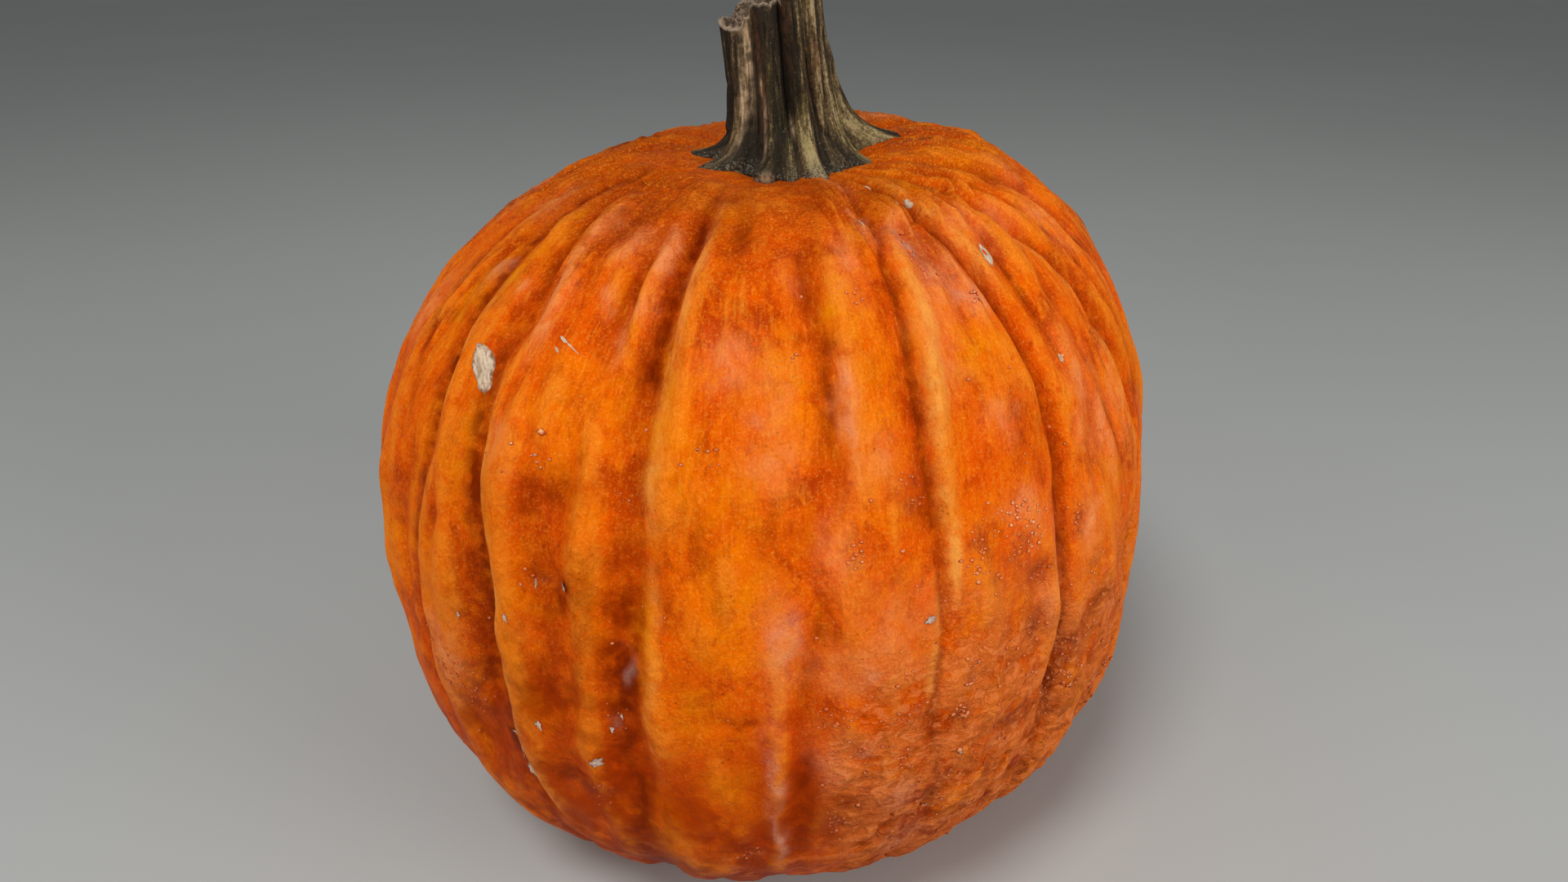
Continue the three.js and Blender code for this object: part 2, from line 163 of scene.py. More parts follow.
# Folds that run up and down: longitude, latitude, tilt, half height, half width, and millimetres up or down.
FOLDS = [
    (-26.0, 46, 0.0, 4, 1.0, 0.9),
    (-22.0, 46.5, 0.0, 5, 1.1, -1.5),
    (-19.4, 46, 0.12, 7, 1.2, 1.4),
    (-36.0, 48, -0.25, 10, 1.6, 1.1),
    (-17.0, 8, 0.0, 14, 2.6, -1.5),
    (-19.0, 54, -0.05, 4.5, 1.0, 0.9),
    (-12.3, 50, 0.02, 10, 1.1, 1.1),
    (-9.3, 42, 0.0, 8, 1.3, -0.8),
    (-5.0, 38, 0.0, 6, 2.0, 0.7),
    (-28.5, 46, 0.0, 5, 1.2, 0.7),
    (-27.0, 54, 0.0, 4, 2.0, 0.6),
    (-31.5, 51, 0.1, 6, 1.4, -0.7),
    (-41.5, 54, 0.0, 5, 1.0, -1.2),
    (-44.5, 47, 0.0, 6, 1.5, 0.8),
    (-57.5, 46, 0.0, 7, 1.5, -0.9),
    (-54.8, 42, 0.0, 8, 1.3, 0.8),
    (-65.0, 50, 0.1, 9, 1.5, 0.7),
    (7.0, 47, -0.05, 5, 1.6, -1.2),
    (11.5, 43, 0.0, 6, 1.8, 1.0),
    (8.6, 32, 0.05, 8, 1.2, -1.0),
    (10.8, 31, 0.08, 6, 1.0, 1.0),
    (3.0, 36, 0.0, 4, 2.5, 0.6),
    (-1.0, 56, 0.0, 6, 1.6, 0.5),
    (14.5, 58, 0.0, 8, 1.3, -0.6),
    (17.0, 52, 0.0, 8, 1.3, 0.5),
    (22.8, 38, 0.02, 12, 1.0, 0.6),
    (28.5, 50, 0.0, 7, 0.8, -0.7),
    (26.0, 60, 0.0, 8, 1.0, 0.6),
    (36.0, 44, 0.2, 7, 1.4, 0.7),
    (33.0, 50, 0.1, 7, 1.2, -0.6),
    (42.5, 22, 0.0, 12, 1.2, -0.8),
    (45.5, 26, 0.0, 8, 1.4, 0.6),
    (49.0, 26, 0.0, 5, 1.5, 0.7),
    (51.5, 20, -0.2, 5, 1.4, -0.8),
    (55.0, 22, -0.3, 6, 1.2, 0.9),
    (50.0, 52, 0.15, 9, 1.3, 0.6),
    (56.0, 50, 0.15, 9, 1.2, -0.6),
    (66.0, 45, 0.1, 8, 1.0, -0.7),
    (-14.0, 5, 0.0, 8, 1.2, 0.9),
    (-18.5, -4, 0.0, 9, 1.8, -0.8),
    (-21.5, 14, 0.0, 12, 1.3, 1.1),
    (-28.0, 21, 0.0, 3.2, 3.4, -1.5),
    (-33.0, 25, 0.1, 5, 1.6, 0.8),
    (-25.0, 11, 0.0, 2.8, 2.8, -1.4),
    (-31.5, 12, 0.0, 14, 1.5, 0.9),
    (-36.9, -6, 0.05, 9, 1.8, -1.7),
    (-44.0, -6, 0.1, 7, 1.8, 1.1),
    (-26.0, -17, 0.0, 3.0, 4.0, -1.5),
    (-22.0, -9, 0.0, 8, 1.3, 0.8),
    (-19.5, -15, 0.0, 8, 1.5, -0.8),
    (0.8, 6, 0.0, 5, 1.5, 0.6),
    (0.3, -13, 0.05, 9, 1.2, 0.8),
    (3.6, -12, 0.0, 10, 1.5, -0.9),
    (-6.0, -14, 0.1, 6, 2.5, 0.7),
    (38.5, 2, 0.0, 8, 1.3, 1.0),
    (35.8, 0.5, 0.0, 3.0, 2.2, -0.8),
    (27.0, 5, 0.0, 7, 1.6, 0.6),
    (31.0, -9, 0.1, 6, 2.0, 0.6),
    (47.0, -4, -0.1, 6, 1.8, -0.9),
    (52.0, 8, -0.2, 8, 1.6, 0.8),
    (-60.0, 6, 0.0, 10, 2.0, 0.8),
    (-55.5, 12, 0.1, 10, 1.4, -0.8),
    (-43.5, 20, -0.25, 8, 1.2, 0.7),
    (-44.3, 8, 0.05, 13, 1.1, -1.2),
    (-46.7, 8, 0.05, 13, 1.2, 0.8),
    (-54.5, 5, 0.05, 14, 1.2, -1.1),
    (-52.0, 5, 0.05, 12, 1.2, 0.7),
    (-58.5, 2, 0.05, 14, 1.3, -0.8),
    (-61.0, 0, 0.0, 12, 1.4, 0.6),
]

# Pleats: degrees from one to the next, height, and the latitudes over which they come in. Lumps: size,
# height, seed.
PLEATS = ((3.4, 0.60, 18, 44), (1.7, 0.36, 40, 56), (1.1, 0.18, 46, 58))
LUMPS = ((19, 1.20, 3), (9.5, 0.80, 4), (4.8, 0.34, 5), (2.6, 0.13, 6))
SMOOTH_CROWN_FRONT = (-6, 60, 24, 20)
PLEATED_FLANKS = ((-60, 18, 13, 28), (60, 14, 13, 26))
TENDON_HEIGHT = 0.62
WRINKLE_HEIGHT = 0.44
CREASE_SKEW = 0.25
CREASE_SWING = 0.62
SIDE_CREASE_SHARPNESS = 0.4
LIP_HEIGHT = 0.9

# Lips of creases, raised and with a painted highlight along them: which crease, from and to latitude,
# strength, offset from its line, half width.
CREASE_LIPS_AND_HIGHLIGHTS = [
    (0, 15, 58, 0.40, 1.5, 1.0),
    (1, 28, 44, 0.65, 2.3, 1.1),
    (1, -12, 22, 0.60, 1.5, 0.7),
    (2, 16, 32, 0.85, 1.7, 0.8),
    (2, -22, 12, 1.00, 2.3, 0.9),
    (3, 20, 45, 0.60, 1.7, 1.2),
    (3, 43, 50, 0.60, 2.2, 1.0),
    (3, 50, 62, 0.50, 3.0, 1.0),
    (3, -12, 14, 0.40, 1.2, 0.8),
    (5, 32, 47, 1.00, 3.1, 1.2),
    (5, 10, 33, 0.90, 1.7, 0.9),
    (5, -6, 12, 0.45, -1.0, 0.6),
    (6, 42, 62, 0.45, 2.4, 1.3),
    (6, -8, 6, 0.50, -1.4, 0.8),
    (7, 10, 46, 0.60, -2.1, 1.2),
    (8, 10, 50, 0.45, -2.0, 1.4),
]
CREASE_LIPS_AND_HIGHLIGHTS += [
    (k, 5 + 9 * (k % 4), 35 + 7 * (k % 4), 0.4 + 0.1 * (k % 3), 1.8 if k % 2 else -1.8, 1.0)
    for k in FAR_CREASES
]

# Painted shade on the walls of creases: which crease, from and to latitude, strength, offset from its line,
# half width.
CREASE_WALL_SHADES = [
    (0, 5, 62, 0.45, -0.8, 1.2),
    (1, 28, 64, 0.85, -0.2, 1.5),
    (1, -14, 28, 0.75, -0.3, 1.1),
    (2, 44, 58, 0.55, 0.0, 1.4),
    (2, 8, 37, 0.90, -0.7, 1.8),
    (2, -18, 6, 0.95, 0.2, 1.9),
    (2, -45, -20, 0.35, -0.8, 1.2),
    (3, 34, 66, 0.90, -0.8, 1.5),
    (3, 22, 34, 0.25, -1.2, 1.4),
    (3, -14, 16, 0.95, -1.8, 1.9),
    (3, -55, -14, 0.75, -1.8, 2.2),
    (4, 31, 41, 0.45, 0.0, 1.3),
    (4, 44, 48, 0.50, -1.2, 1.0),
    (4, 5, 11, 0.50, 0.6, 1.1),
    (4, -7, 1, 0.55, 0.0, 1.1),
    (4, -26, -8, 0.60, 1.0, 1.6),
    (5, 9, 60, 0.60, -0.5, 0.7),
    (5, -22, 8, 0.40, -0.4, 0.9),
    (6, 26, 64, 0.75, 0.1, 0.5),
    (6, -20, 15, 0.70, 0.6, 0.7),
    (6, 10, 27, 0.30, 0.2, 1.2),
    (7, 20, 64, 0.85, 0.1, 0.6),
    (7, 26, 38, 0.45, 1.4, 1.4),
    (8, -10, 60, 0.60, 0.3, 1.0),
    (9, 5, 64, 0.55, 0.1, 0.7),
]
CREASE_WALL_SHADES += [(k, -25, 66, 0.75, -0.4, 0.9) for k in FAR_CREASES]

SKIN_COLUMNS = 478
SKIN_ROWS = 207
SKIN_STRETCH = 1.7
STREAK_STRETCH = 5
NOISE_LATTICE = 48


def smoothstep(low, high, x):
    """0 below low, 1 above high, and a smooth S between them."""
    t = np.clip((x - low) / (high - low), 0, 1)
    return t * t * (3 - 2 * t)


def turn(a, b):
    """The difference between two longitudes, from -180 to 180 degrees."""
    return (a - b + 180) % 360 - 180


def soft_noise(places, size, seed):
    """Random heights from -1 to 1: random numbers at the corners of a lattice, blended by a smooth S between
    them."""
    corners = np.random.default_rng(seed).uniform(-1, 1, (NOISE_LATTICE,) * 3)
    cell = np.floor(places / size).astype(int)
    part = places / size - cell
    part = part * part * (3 - 2 * part)
    total = np.zeros(places.shape[:-1])
    for corner in np.ndindex(2, 2, 2):
        share = np.prod(np.where(np.array(corner) == 1, part, 1 - part), axis=-1)
        i, j, k = np.moveaxis((cell + corner) % NOISE_LATTICE, -1, 0)
        total += share * corners[i, j, k]
    return total


def back_crease(k):
    """A crease of the far side: about 18 degrees from the last one, a little off its even place, drifting
    and bowed."""
    middle = 98 + 17.8 * k + 2.6 * math.sin(2.1 * k + 0.4)
    drift, bow = 2 * math.sin(1.3 * k), 3 * math.sin(0.9 * k + 2)
    return (
        tuple(middle + drift * lat / 60 + bow * (lat / 60) ** 2 for lat in LINE_LATS),
        3.7 + 1.1 * math.sin(1.7 * k),
        3.2 + 0.9 * math.sin(2.3 * k + 1),
        3.2,
        0.5 + 0.4 * math.sin(2.3 * k),
    )


def back_swell(k):
    """A swell or dent of the far side, by turns, spread by the golden section."""
    return (
        88 + 190 * ((0.618034 * k) % 1),
        -38 + 92 * ((0.754878 * k) % 1),
        2.4 + 1.6 * abs(math.sin(1.9 * k)),
        7 + 6 * abs(math.cos(1.3 * k)),
        1.4 if k % 2 else -1.5,
    )


CREASES = FRONT_CREASES + [back_crease(k) for k in range(BACK_CREASE_COUNT)]
ALL_SWELLS = SWELLS + [back_swell(k) for k in range(BACK_SWELL_COUNT)]


def crease_away(crease, lon, lat):
    """Degrees of longitude from a crease's line: a Hermite curve through its longitudes, level past its
    ends."""
    knots, held = np.array(LINE_LATS, float), np.array(crease[0])
    slopes = np.gradient(held, knots)
    k = np.clip(np.searchsorted(knots, lat) - 1, 0, len(knots) - 2)
    span = knots[k + 1] - knots[k]
    t = np.clip((lat - knots[k]) / span, 0, 1)
    line = held[k] * (1 + 2 * t) * (1 - t) ** 2 + held[k + 1] * t * t * (3 - 2 * t)
    line = line + span * (slopes[k] * t * (1 - t) ** 2 + slopes[k + 1] * t * t * (t - 1))
    return turn(lon, line)


def crease_depth(crease, lat):
    """From the foot's depth to the shoulder's, dying out towards the blossom end and, if soft, under the
    stem."""
    _, shoulder, foot, _, sharp = crease
    along = foot + (shoulder - foot) * smoothstep(-20, 45, lat)
    ease = 0.95 - 0.25 * sharp
    return along * smoothstep(-62, -4, lat) * (1 - ease * smoothstep(50 + 4 * sharp, 68 + 12 * sharp, lat))


def crease_section(away, width, sharp):
    """1 on the line. A sharp crease falls off exponentially from a softened tip, and a soft one as a
    Gaussian, and each is wider to the left of its line than to the right."""
    wide = width * (1 - CREASE_SKEW * np.tanh(away / 1.2))
    tip = 0.35 * wide
    thin = np.exp(-(np.hypot(away, tip) - tip) / wide)
    return sharp * thin + (1 - sharp) * np.exp(-((away / (1.45 * wide)) ** 2))


def patch(lon, lat, at):
    """A soft oval patch: a Gaussian in longitude and latitude."""
    across = turn(lon, at[0]) / at[2]
    along = (lat - at[1]) / at[3]
    return np.exp(-across * across - along * along)


def slanted(lon, lat, at):
    """Degrees across and along from a short line, given by its longitude, latitude and tilt."""
    rise = lat - at[1]
    return turn(lon, at[0] + at[2] * rise), rise


def lobe_relief(lon, lat):
    """How far the lobes stand off the plain body: down in creases and dents, up on swells."""
    height = np.zeros(np.broadcast(lon, lat).shape)
    waver = crease_waver(lon, lat)
    swing = soft_noise(meridian_place(lon, lat, 1.5), 17, 18)
    for crease in CREASES:
        _, _, _, width, sharp = crease
        depth = crease_depth(crease, lat) * (1 + (CREASE_SWING - 0.30 * sharp) * swing)
        height -= depth * crease_section(crease_away(crease, lon, lat) + waver, width, sharp)
    for side in SIDE_CREASES:
        away, rise = slanted(lon, lat, side)
        section = crease_section(away, side[5], SIDE_CREASE_SHARPNESS)
        height -= side[4] * section * np.exp(-((rise / side[3]) ** 2))
    for swell in ALL_SWELLS:
        height += swell[4] * patch(lon, lat, swell)
    return height * (1 - CALM_SHOULDER[4] * patch(lon, lat, CALM_SHOULDER))


def meridian_place(lon, lat, stretch):
    """A place for patterns that run from stem to blossom: round a cylinder that closes in over both ends,
    with the way along shortened."""
    girth = np.radians(lon)
    closing = 1 - 0.9 * smoothstep(45, 90, np.abs(lat))
    ring = np.stack([np.sin(girth) * closing, np.cos(girth) * closing], -1) * HALF_WIDTH
    return np.concatenate([ring, (np.radians(lat) * HALF_WIDTH / stretch)[..., None]], -1)


def crease_waver(lon, lat):
    """How far creases stray from their lines, in degrees: two sizes of noise."""
    place = meridian_place(lon, lat, 1)
    stray = 0.70 * soft_noise(place, 17, 7) + 0.42 * soft_noise(place, 7, 17)
    return stray * (1 - 0.5 * smoothstep(46, 62, lat))


def weathered(lon, lat):
    """1 in the rough lower right of the front, where the fruit lay against wet ground, falling to 0 around
    it."""
    wander = 4 * soft_noise(meridian_place(lon, lat, 1), 16, 31)
    across = smoothstep(3, 14, lon + wander) * smoothstep(82, 56, lon + wander)
    return across * smoothstep(16, -6, lat + 1.5 * wander) * smoothstep(-75, -45, lat)


def crease_span(lat, low, high):
    """1 between two latitudes of a crease, fading out a little past them."""
    return smoothstep(low - 5, low + 3, lat) * smoothstep(high + 5, high - 3, lat)


def fine_relief(lon, lat):
    """Dimples, folds and pleats, the sharp line and raised lip of each crease, lumps of four sizes, tendons
    that run from stem to blossom, and wrinkles where the skin is weathered."""
    height = np.zeros(np.broadcast(lon, lat).shape)
    for dimple in DIMPLES:
        height += dimple[4] * patch(lon, lat, dimple)
    for fold in FOLDS:
        away, rise = slanted(lon, lat, fold)
        height += fold[5] * np.exp(-((away / fold[4]) ** 2) - (rise / fold[3]) ** 2)
    waver = crease_waver(lon, lat)
    front_ease = 1 - np.minimum(1.15 * patch(lon, lat, SMOOTH_CROWN_FRONT), 1)
    drift = 0.8 * soft_noise(meridian_place(lon, lat, 3), 12, 10)
    rise_and_fall = 0.5 + 0.8 * soft_noise(meridian_place(lon, lat, 2), 15, 11)
    flanks = sum(patch(lon, lat, flank) for flank in PLEATED_FLANKS)
    for step, lift, low, high in PLEATS:
        pleat = np.cos(2 * math.pi * (lon / step + drift)) * rise_and_fall
        shown = np.maximum(smoothstep(low, high, lat) * smoothstep(80, 66, lat) * front_ease, 0.9 * flanks)
        height += lift * pleat * shown
    for crease in CREASES:
        sharp = crease[4]
        away = crease_away(crease, lon, lat) + waver
        share = crease_depth(crease, lat) / 5
        height -= (0.1 + 0.8 * sharp) * share * np.exp(-np.abs(away) / 0.75)
        height += sharp * share * (np.exp(-((away / 4.2) ** 2)) - np.exp(-((away / 1.5) ** 2)))
    for index, low, high, strength, offset, width in CREASE_LIPS_AND_HIGHLIGHTS:
        away = crease_away(CREASES[index], lon, lat) + waver
        lip = strength * crease_span(lat, low, high)
        height += LIP_HEIGHT * lip * np.exp(-(((away - offset) / (1.2 * width)) ** 2))
    place = meridian_place(lon, lat, SKIN_STRETCH)
    knobbly = (1 + 0.55 * weathered(lon, lat)) * (1 - 0.6 * smoothstep(50, 64, lat))
    for size, lift, seed in LUMPS:
        height += knobbly * lift * soft_noise(place, size, seed)
    strands = meridian_place(lon, lat, 3.2)
    tendon = 0.6 - 1.8 * np.abs(soft_noise(strands, 13, 8) + 0.4 * soft_noise(strands, 5.5, 9))
    height += TENDON_HEIGHT * tendon * (1 - 0.55 * smoothstep(50, 64, lat))
    folds = meridian_place(lon, lat, 0.7)
    fold = np.abs(soft_noise(folds, 7.5, 12) + 0.5 * soft_noise(folds, 3.4, 13))
    strength = weathered(lon, lat) * (0.45 + 0.55 * smoothstep(-8, -24, lat))
    height += WRINKLE_HEIGHT * strength * (1 - 3.2 * np.exp(-fold / 0.12))
    return height * smoothstep(90, 80, np.abs(lat))


def skin_point(lon, lat, lift=0.0):
    """The skin at a longitude and latitude, in metres. In plan and profile the plain body is a superellipse,
    wider along one diagonal. The relief is added along the ray from the body's middle, a dish is pressed in
    under the stem, the crown is tilted, the middle line leans, and the blossom end is flattened where it
    rests."""
    lon, lat = np.broadcast_arrays(np.asarray(lon, float), np.asarray(lat, float))
    c, s = np.cos(np.radians(lat)), np.sin(np.radians(lat))
    power = np.where(s >= 0, CROWN_POWER, BASE_POWER)
    reach = np.where(s >= 0, CROWN_RISE, BASE_DROP)
    plain = ((np.abs(c) / HALF_WIDTH) ** power + (np.abs(s) / reach) ** power) ** (-1 / power)
    r = plain + lobe_relief(lon, lat) + fine_relief(lon, lat) + lift
    across = r * c * (1 - OVAL * np.sin(np.radians(2 * lon)))
    x = across * np.sin(np.radians(lon))
    y = -across * np.cos(np.radians(lon))
    from_seat = np.hypot(x - SEAT_AT[0], y - SEAT_AT[1]) / SEAT_RADIUS
    z = r * s - np.where(s > 0, SEAT_DEPTH * np.exp(-(from_seat**2)), 0)
    z = z + np.where(z > 0, CROWN_TILT * x * np.clip(z / 100, 0, 1) ** 2, 0)
    scar = np.exp(-((np.hypot(x, y) / BLOSSOM_SCAR_RADIUS) ** 2))
    height = z + WIDEST_LEVEL + np.where(s < 0, BLOSSOM_SCAR_DEPTH * scar, 0)
    rested = 0.5 * (height + np.sqrt(height**2 + FLAT_SPOT_SOFTNESS**2))
    return np.stack([x + LEAN[0] * height, y + LEAN[1] * height, rested], -1) * MM


def make_mesh(name, points, faces, tones, places):
    """A smooth-shaded object from points and faces, with float masks and vector places kept on its
    points."""
    mesh = bpy.data.meshes.new(name)
    mesh.from_pydata(points.tolist(), [], faces)
    mesh.polygons.foreach_set("use_smooth", np.ones(len(mesh.polygons), bool))
    for label, values in tones.items():
        mesh.attributes.new(label, "FLOAT", "POINT").data.foreach_set("value", values.astype(np.float32))
    for label, values in places.items():
        held = mesh.attributes.new(label, "FLOAT_VECTOR", "POINT")
        held.data.foreach_set("vector", values.astype(np.float32).ravel())
    mesh.update()
    piece = bpy.data.objects.new(name, mesh)
    bpy.context.scene.collection.objects.link(piece)
    return piece


def closed_faces(rings, columns):
    """Faces of a closed skin: point 0 at the bottom, rings of points one above the other, and the last at
    the top."""
    column = np.arange(columns)
    after = (column + 1) % columns
    low = 1 + columns * np.arange(rings - 1)[:, None]
    quads = np.stack([low + column, low + after, low + columns + after, low + columns + column], -1)
    last = 1 + columns * (rings - 1)
    under = np.stack([np.zeros(columns, int), 1 + after, 1 + column], -1)
    over = np.stack([last + column, last + after, np.full(columns, last + columns)], -1)
    return under.tolist() + quads.reshape(-1, 4).tolist() + over.tolist()


def spread(low, high, count, density):
    """Values from low to high, packed in proportion to a density."""
    fine = np.linspace(low, high, 4000)
    built = np.concatenate([[0], np.cumsum(density(0.5 * (fine[1:] + fine[:-1])))])
    return np.interp(np.linspace(0, built[-1], count), built, fine)


# Patches of tone in the skin: longitude, latitude, half width, half height, strength.
# Dark red-brown: the skin's own russet, and painted shade laid in its dents.
RUSSET_AND_DENT_SHADE_PATCHES = [
    (-22, 47, 1.3, 3.6, 0.95), (-16.3, 44, 1.3, 5, 0.6), (-17.5, 38, 1.5, 3, 0.5), (-28, 21, 2.6, 2.6, 0.5),
    (-33, 19, 4, 4, 0.3), (-24, 23, 4.5, 4, 0.3), (-25, 11, 3.2, 2.8, 0.75), (-22, 9, 2, 3, 0.5),
    (-21, 12, 2, 6, 0.35), (-17.4, 6, 1.7, 9, 0.75), (-17.8, -9, 1.5, 5, 0.5), (-37, -6, 2.4, 9, 0.8),
    (-27, -4, 6, 7, 0.42), (-26, -16, 5, 3.5, 0.7), (-20, -14, 2, 8, 0.5), (-25, 0, 7, 12, 0.36),
    (-20, -35, 3, 12, 0.6), (-4.5, 54.5, 3.2, 3.2, 0.6), (6.5, 47, 2.4, 3, 0.65), (8.5, 32, 1.2, 8, 0.4),
    (18, 21, 2.4, 3, 0.5), (19, 40, 1.5, 14, 0.3), (37, 24, 3, 3.5, 0.35), (36, 0.5, 2, 2.6, 0.45),
    (33, 8, 3, 2, 0.3), (50, -2, 3, 3, 0.65), (45, -7, 3, 3, 0.5), (35, -12, 5, 2, 0.5),
    (47, -15, 4, 2, 0.35), (-4, -3.6, 3.2, 0.7, 0.7), (-5, -24, 3, 4, 0.5), (-4, -38, 7, 8, 0.5),
    (12, -2, 2, 2, 0.3), (9.5, -8.5, 1.6, 1.2, 0.6), (7, 7.5, 1.5, 2.5, 0.3), (22, -7, 2, 2, 0.35),
    (-58, 63, 6, 5, 0.3), (-57, 45, 2.6, 6, 0.35), (-67, 42, 3, 5, 0.4), (-48, 68, 8, 5, 0.5),
    (-63, 13, 8, 5, 0.25), (-45, 13, 2.6, 9, 0.3), (-41, -14, 5, 8, 0.5), (-55, -42, 12, 9, 0.5),
    (-25, 66, 6, 3, 0.35), (46, 57, 3.6, 3, 0.45), (35, 54, 2.2, 5, 0.4), (-41, 53, 1.4, 3, 0.6),
    (30, -3, 2.6, 3, 0.3), (52, 70, 8, 3, 0.3), (14, 60, 5, 3, 0.25), (-8, 0, 2, 6, 0.3),
    (64, 35, 2, 8, 0.35), (73, 20, 4, 8, 0.35), (-28, 59, 10, 5, 0.50), (-8, 62, 8, 4, 0.42),
    (32, 61, 9, 5, 0.42), (14, 66, 10, 4, 0.35), (4, -19, 8, 6, 0.42), (-10, -33, 8, 6, 0.4),
    (12, -30, 5, 4, 0.3), (-12, 12, 1.4, 5, 0.25), (2, 18, 3, 3, 0.25), (-8, 20, 3, 2, 0.2),
    (14, 12, 3, 2.4, 0.25),
]
OCHRE_PATCHES = [
    (-13, 34, 1.6, 11, 0.9), (-48.5, 46, 2.2, 4.5, 0.9), (-55.5, 41, 2, 8, 0.8), (-60, 4, 6, 6, 0.6),
    (-68, -4, 5, 8, 0.6), (12, 43, 2.8, 5, 0.85), (3, 36, 3.6, 4, 0.65), (-4, 13, 5, 5, 0.42),
    (-10, 26, 2.4, 6, 0.45), (-14.3, 7, 1.2, 6, 0.7), (-6, -13, 3.2, 3, 0.3), (-40, 25, 2.6, 8, 0.45),
    (-34, 12, 1.8, 10, 0.45), (-43, 5, 2.4, 5, 0.5), (-20, 45, 1.1, 4, 0.7), (-20.3, 15, 1.4, 10, 0.4),
    (23.2, 33, 1.4, 9, 0.6), (31, 34, 4, 3.6, 0.65), (35, 61, 3.6, 4, 0.4), (45, 62, 3.6, 4.5, 0.65),
    (52, 44, 2.8, 4, 0.45), (-48, 55, 2, 4, 0.5), (48, -17, 4, 3, 0.5), (56, -28, 6, 5, 0.4),
    (-6, 58, 4, 3, 0.25), (-20, 33, 4.5, 6, 0.35), (15, 35, 3, 6, 0.3),
    (53, 13, 3.6, 5, 0.45), (-10, -3, 3, 5, 0.35), (-51, 15, 2, 10, 0.35), (-27, 33, 3, 4, 0.3),
    (27, 8, 2, 4, 0.35), (34, 2, 2, 3, 0.3), (75, 58, 4, 6, 0.5), (66, 0, 1.6, 12, 0.5),
    (-2, 24, 5, 4, 0.35), (-14, -25, 2, 9, 0.3), (-31, 0, 1.8, 7, 0.4),
]
# Painted highlights: a pinkish sheen on ridges and swells.
SHEEN_HIGHLIGHT_PATCHES = [
    (-37, 53, 1.6, 3.5, 0.6), (-35.8, 47, 1.6, 3.5, 0.65), (-34, 42, 1.6, 3.5, 0.65), (-35, 58, 3, 3, 0.4),
    (-19, 51, 1.3, 4, 0.65), (-19.3, 45, 1.2, 3, 0.4), (-21, 41, 1.4, 3, 0.4), (10.5, 35, 1.2, 2.4, 0.4),
    (33, 27, 2.4, 2, 0.5), (23.8, 34, 0.8, 4, 0.4), (-26, 54, 2.8, 3, 0.5), (-25.5, 46, 1.1, 2.4, 0.6),
    (-19, 54, 1.5, 4, 0.55), (-12.3, 51, 1.2, 8, 0.65), (-44, -6, 2.8, 6, 0.6), (-44, 44.5, 1, 1.6, 0.5),
    (-4, 38, 3.6, 3.2, 0.5), (2, 34, 2, 3, 0.3), (10.7, 31, 1.2, 5, 0.9), (15, 48, 2.8, 4, 0.4),
    (25, 68, 2.8, 5, 0.55), (22, 55, 1.1, 3, 0.7), (27, 51, 2.4, 3, 0.45), (26, 38, 2.6, 6, 0.4),
    (36, 44, 1.6, 4.5, 0.7), (37.5, 41, 1.6, 2, 0.7), (45, 50, 3.6, 5, 0.35), (56, 48, 3.6, 4, 0.4),
    (50, 25, 2.6, 6, 0.55), (55, 20, 1.8, 6, 0.65), (47, 10, 2.4, 3, 0.7), (1, 27, 2.8, 3, 0.35),
    (8.4, 17, 2, 4, 0.4), (0.8, 6, 1.8, 5, 0.42), (35, 14, 2.8, 2.4, 0.55), (33, 17, 3, 1.5, 0.4),
    (10, 2, 5, 3, 0.5), (15, 8, 4, 4, 0.3), (37.5, 3, 1.5, 4, 0.55), (-65, 57, 5, 3, 0.5),
    (-72, 35, 5, 6, 0.4), (30, 52, 3, 3, 0.3), (30.5, 44, 2.6, 4, 0.45), (62, 22, 3, 6, 0.4),
    (40, 9, 1.2, 6, 0.35), (-33, 27, 2, 3, 0.35), (14, 26, 2.6, 3, 0.3), (5, 47, 2, 3, 0.2),
    (70, 45, 4, 5, 0.4), (44, -4, 2, 4, 0.3),
]
SCARLET_PATCHES = [
    (-28, 20, 4.5, 4.5, 0.6), (-43.2, 34.2, 3.6, 4.4, 0.7), (43.9, 44.3, 3.2, 2.6, 0.45),
    (-29.0, 39.4, 3.0, 2.6, 0.5), (-7.5, 42, 1.5, 5, 0.7), (-6, 35, 3, 5, 0.35), (-46, 38, 3, 3, 0.55),
    (-49, 58, 3, 1.6, 0.5), (-65, 28, 6, 6, 0.5), (35, 26, 3, 4, 0.4), (28, 22, 2, 3, 0.45),
    (42.6, 25, 1.3, 9, 0.6), (-31, 41, 3, 2.6, 0.35), (3, 43, 2, 3, 0.3), (28, 14, 4, 4, 0.35),
    (-24, 4, 3, 5, 0.3), (-12, -9, 10, 7, 0.45), (4, -8, 8, 6, 0.40), (-28, -9, 8, 7, 0.40),
    (18, -4, 6, 6, 0.30), (54, 30, 3, 5, 0.35), (70, 30, 4, 8, 0.4), (-1, 51, 5, 3, 0.3),
    (-58, 22, 4, 6, 0.3),
]
LILAC_PATCHES = [
    (-0.2, -4, 1, 3, 0.12), (-0.3, -13, 0.9, 4.5, 0.75), (0.7, -24, 0.6, 4.5, 0.8), (1.4, 7.5, 1.6, 3, 0.35),
    (-18.3, -6.2, 0.5, 0.9, 0.6), (37, 40, 2, 1.4, 0.7), (28.5, 49.5, 1, 2, 0.8),
    (33.5, 41.5, 2.0, 1.8, 0.45), (-54.5, 45.8, 1.4, 1.0, 0.6), (10.5, -9, 1.0, 0.8, 0.6),
    (15, -17, 3.4, 3.0, 0.35), (11, 1, 1.6, 1.2, 0.3), (30, 44.5, 2.2, 1.8, 0.40), (-1, 31, 1.2, 1.0, 0.3),
    (7, -12, 2.0, 2.0, 0.3), (24, 54, 1.0, 2.4, 0.4), (17, -29, 4.0, 3.0, 0.3), (52, -38, 4.0, 4.0, 0.4),
]
